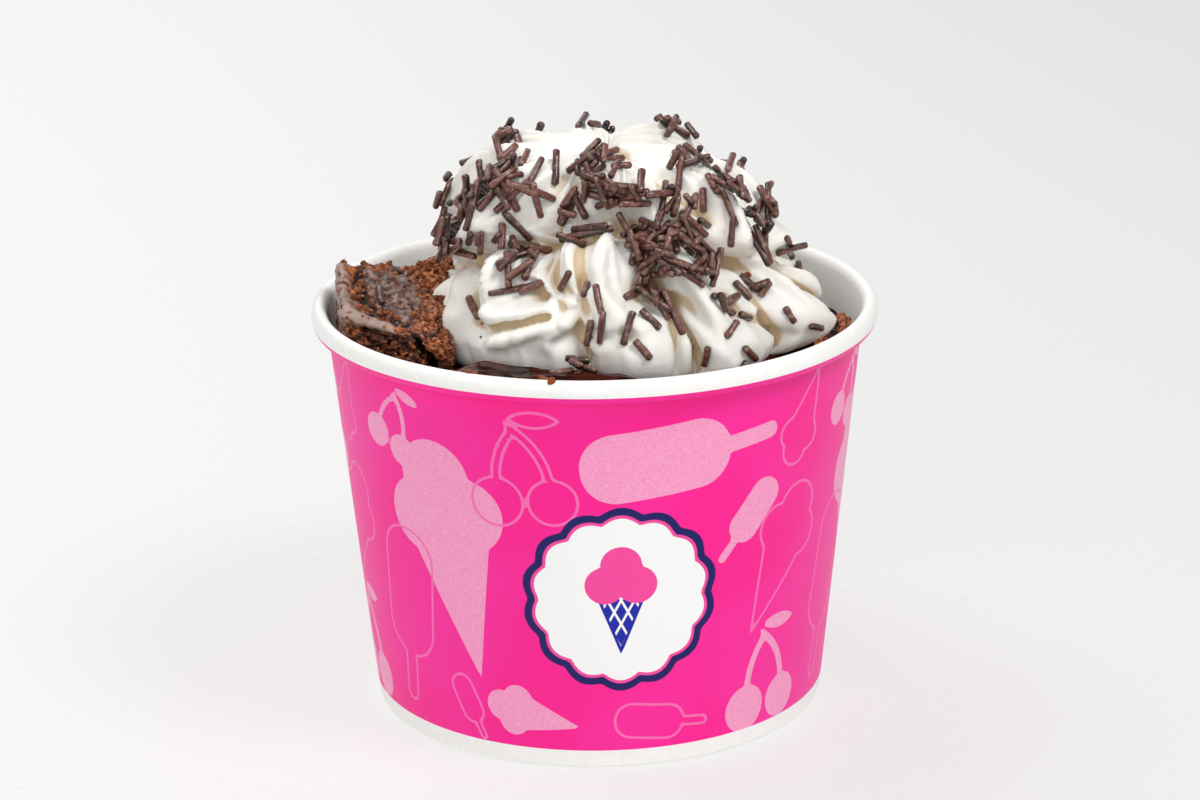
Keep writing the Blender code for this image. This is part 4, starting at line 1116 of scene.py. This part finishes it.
def rim_height(radius):
    """Height of the rolled rim's top at the radius."""
    part = np.clip((radius - ROLL_ACROSS) / (ROLL_WIDTH / 2), -0.98, 0.98)
    return ROLL_MIDDLE + ROLL_HEIGHT / 2 * math.sqrt(1 - part ** 2)


def crumb_spots(brownie, count, draw):
    """Spots on a brownie's open crumb that face up, with their normals."""
    mesh = brownie.data
    open_crumb = mesh.attributes["crust"].data
    warm = mesh.attributes["warm"].data
    spots = []
    while len(spots) < count:
        i = draw.randrange(len(mesh.vertices))
        vertex = mesh.vertices[i]
        chance = 0.12 + (1 - open_crumb[i].value) * (0.3 + 0.7 * warm[i].value)
        if vertex.normal.z > CRUMB_STEEPEST and draw.random() < chance:
            spots.append((vertex.co.copy(), vertex.normal.copy()))
    return spots


draw = random.Random(CRUMB_SEED)
spots = crumb_spots(brownies[0], CRUMBS_LEFT, draw)
spots += crumb_spots(brownies[2], CRUMBS_RIGHT, draw)
for _ in range(CRUMBS_RIM):
    a = math.radians(draw.uniform(*RIM_CRUMBS_AT))
    radius = draw.gauss(*RIM_CRUMBS_RADIUS)
    spot = Vector((radius * math.sin(a), -radius * math.cos(a), rim_height(radius)))
    spots.append((spot * MM, Vector((0, 0, 1))))
for angle, elevation in CREAM_CRUMBS:
    spots.append(on_cream(angle, elevation))
bpy.ops.mesh.primitive_ico_sphere_add(subdivisions=1, radius=1, location=(0, 0, 0))
crumb_shape = bpy.context.object
corners = [v.co.copy() for v in crumb_shape.data.vertices]
sides = [tuple(p.vertices) for p in crumb_shape.data.polygons]
bpy.data.objects.remove(crumb_shape)
vertices = []
faces = []
tints = []
for spot, normal in spots:
    size = min(CRUMB_LARGEST, CRUMB_TYPICAL * math.exp(CRUMB_UNEVEN * draw.gauss(0, 1)))
    turn = Quaternion((draw.gauss(0, 1), draw.gauss(0, 1), draw.gauss(0, 1), draw.gauss(0, 1))).normalized()
    first = len(vertices)
    tint = draw.random()
    for corner in corners:
        knob = corner * size * draw.uniform(0.6, 1.2)
        knob.z *= 0.75
        vertices.append(spot + normal * 0.35 * size * MM + (turn @ knob) * MM)
        tints.append(tint)
    faces += [tuple(first + i for i in side) for side in sides]
crumbs = piece_of("loose_crumbs", vertices, faces)
keep_values(crumbs, tint=tints)

# Dry baked crumb: matt, from dark chocolate brown to toasted orange brown.
dry = finish_of("dry_brownie_crumb", Roughness=0.7, IOR=1.4)
tint = node(dry, "Attribute", attribute_name="tint")
toasted = node(dry, "Mix", tint, linear("#3F190D"), linear("#C07645"))
grains = node(dry, "TexNoise", node(dry, "TexCoord"), 1 / (0.5 * MM), 2.0)
toasted = node(dry, "Mix", node(dry, "MapRange", grains, 0.35, 0.65), toasted, linear("#7A3C20"))
join(dry, toasted, "Base Color")
crumbs.data.materials.append(dry)
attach(crumbs, "root")

bpy.ops.curve.primitive_nurbs_path_add(location=(0, 0, 0))
drip = bpy.context.object
drip.name = "fudge_drip"
drip.data.splines.clear()
path = drip.data.splines.new("NURBS")
path.points.add(len(DRIP) - 1)
for point, (angle, radius, half) in zip(path.points, DRIP):
    a = math.radians(angle)
    above = max(rim_height(radius), DRIP_LOWEST if radius < DRIP_INSIDE else 0)
    point.co = (radius * math.sin(a) * MM, -radius * math.cos(a) * MM, above * MM, 1)
    point.radius = half
path.use_endpoint_u = True
path.order_u = 3
path.resolution_u = 6
drip.data.bevel_depth = MM
drip.data.bevel_resolution = 4
drip.data.use_fill_caps = True
bpy.ops.object.convert(target="MESH")
bpy.ops.object.shade_smooth()
everywhere = np.ones(len(drip.data.vertices))
keep_values(drip, wet=everywhere, thin=everywhere)
drip.data.materials.clear()
drip.data.materials.append(syrup)
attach(drip, "root")
bpy.ops.object.select_all(action="DESELECT")


# Table, light and camera
# A plain pale table under soft daylight from the upper right, and the camera
# where the photograph was taken from, looking down a little.
bpy.ops.mesh.primitive_plane_add(size=6, location=(0, 0, -0.0002))
table = bpy.context.object
table.name = "table"
bpy.ops.object.select_all(action="DESELECT")
stone = finish_of("pale_quartz_worktop", Roughness=0.75, IOR=1.3, Emission_Color=(0.98, 0.975, 0.97, 1.0))
spot = node(stone, "TexCoord")
flecks = node(stone, "MapRange", node(stone, "TexNoise", spot, 1 / (1.6 * MM), 2.0), 0.66, 0.74)
join(stone, node(stone, "Mix", flecks, linear("#8E8E8C"), linear("#7C7A78")), "Base Color")
# painted light: the glow of a white worktop in a bright room, a little stronger at
# the left
aside = node(stone, "SeparateXYZ", spot)
join(stone, node(stone, "MapRange", aside, -0.35, 0.35, 0.69, 0.55), "Emission Strength")
table.data.materials.append(stone)

sky = bpy.data.worlds.new("soft_room")
bpy.context.scene.world = sky
sky.use_nodes = True
sky.node_tree.nodes["Background"].inputs[0].default_value = (0.94, 0.96, 1.0, 1.0)
sky.node_tree.nodes["Background"].inputs[1].default_value = 0.33
CUP_MIDDLE = Vector((0, 0, 0.08))


def window(name, place, size, power):
    """A soft square light aimed at the cup; place and size in metres, power in watts."""
    light = bpy.data.lights.new(name, "AREA")
    light.size = size
    light.energy = power
    lamp = bpy.data.objects.new(name, light)
    lamp.location = place
    lamp.rotation_euler = (CUP_MIDDLE - Vector(place)).to_track_quat("-Z", "Y").to_euler()
    bpy.context.scene.collection.objects.link(lamp)


window("key_window", (0.5, -0.35, 0.85), 0.35, 4.6)
window("front_window", (-0.6, -2.0, 1.15), 1.5, 17.0)
window("top_window", (-0.45, 0.3, 1.0), 0.6, 4.2)
window("back_window", (-0.3, 1.15, 0.62), 0.6, 1.4)

# the camera: focal length in the photo's pixels, distance in metres, tilt down and roll
FOCUS = 3810.0
DISTANCE = 0.780
PITCH = math.radians(18.5)
ROLL = math.radians(0.76)
LOOKS_AT = (0.00083, 0, 0.0615)
SENSOR = 36
PHOTO_WIDTH = 1200
camera_data = bpy.data.cameras.new("camera")
camera_data.sensor_width = SENSOR
camera_data.lens = FOCUS / PHOTO_WIDTH * SENSOR
camera = bpy.data.objects.new("camera", camera_data)
bpy.context.scene.collection.objects.link(camera)
ahead = Vector((0, math.cos(PITCH), -math.sin(PITCH)))
camera.location = Vector(LOOKS_AT) - ahead * DISTANCE
camera.rotation_mode = "QUATERNION"
camera.rotation_quaternion = Quaternion(ahead, ROLL) @ ahead.to_track_quat("-Z", "Y")
bpy.context.scene.camera = camera
bpy.context.scene.view_settings.view_transform = "Standard"
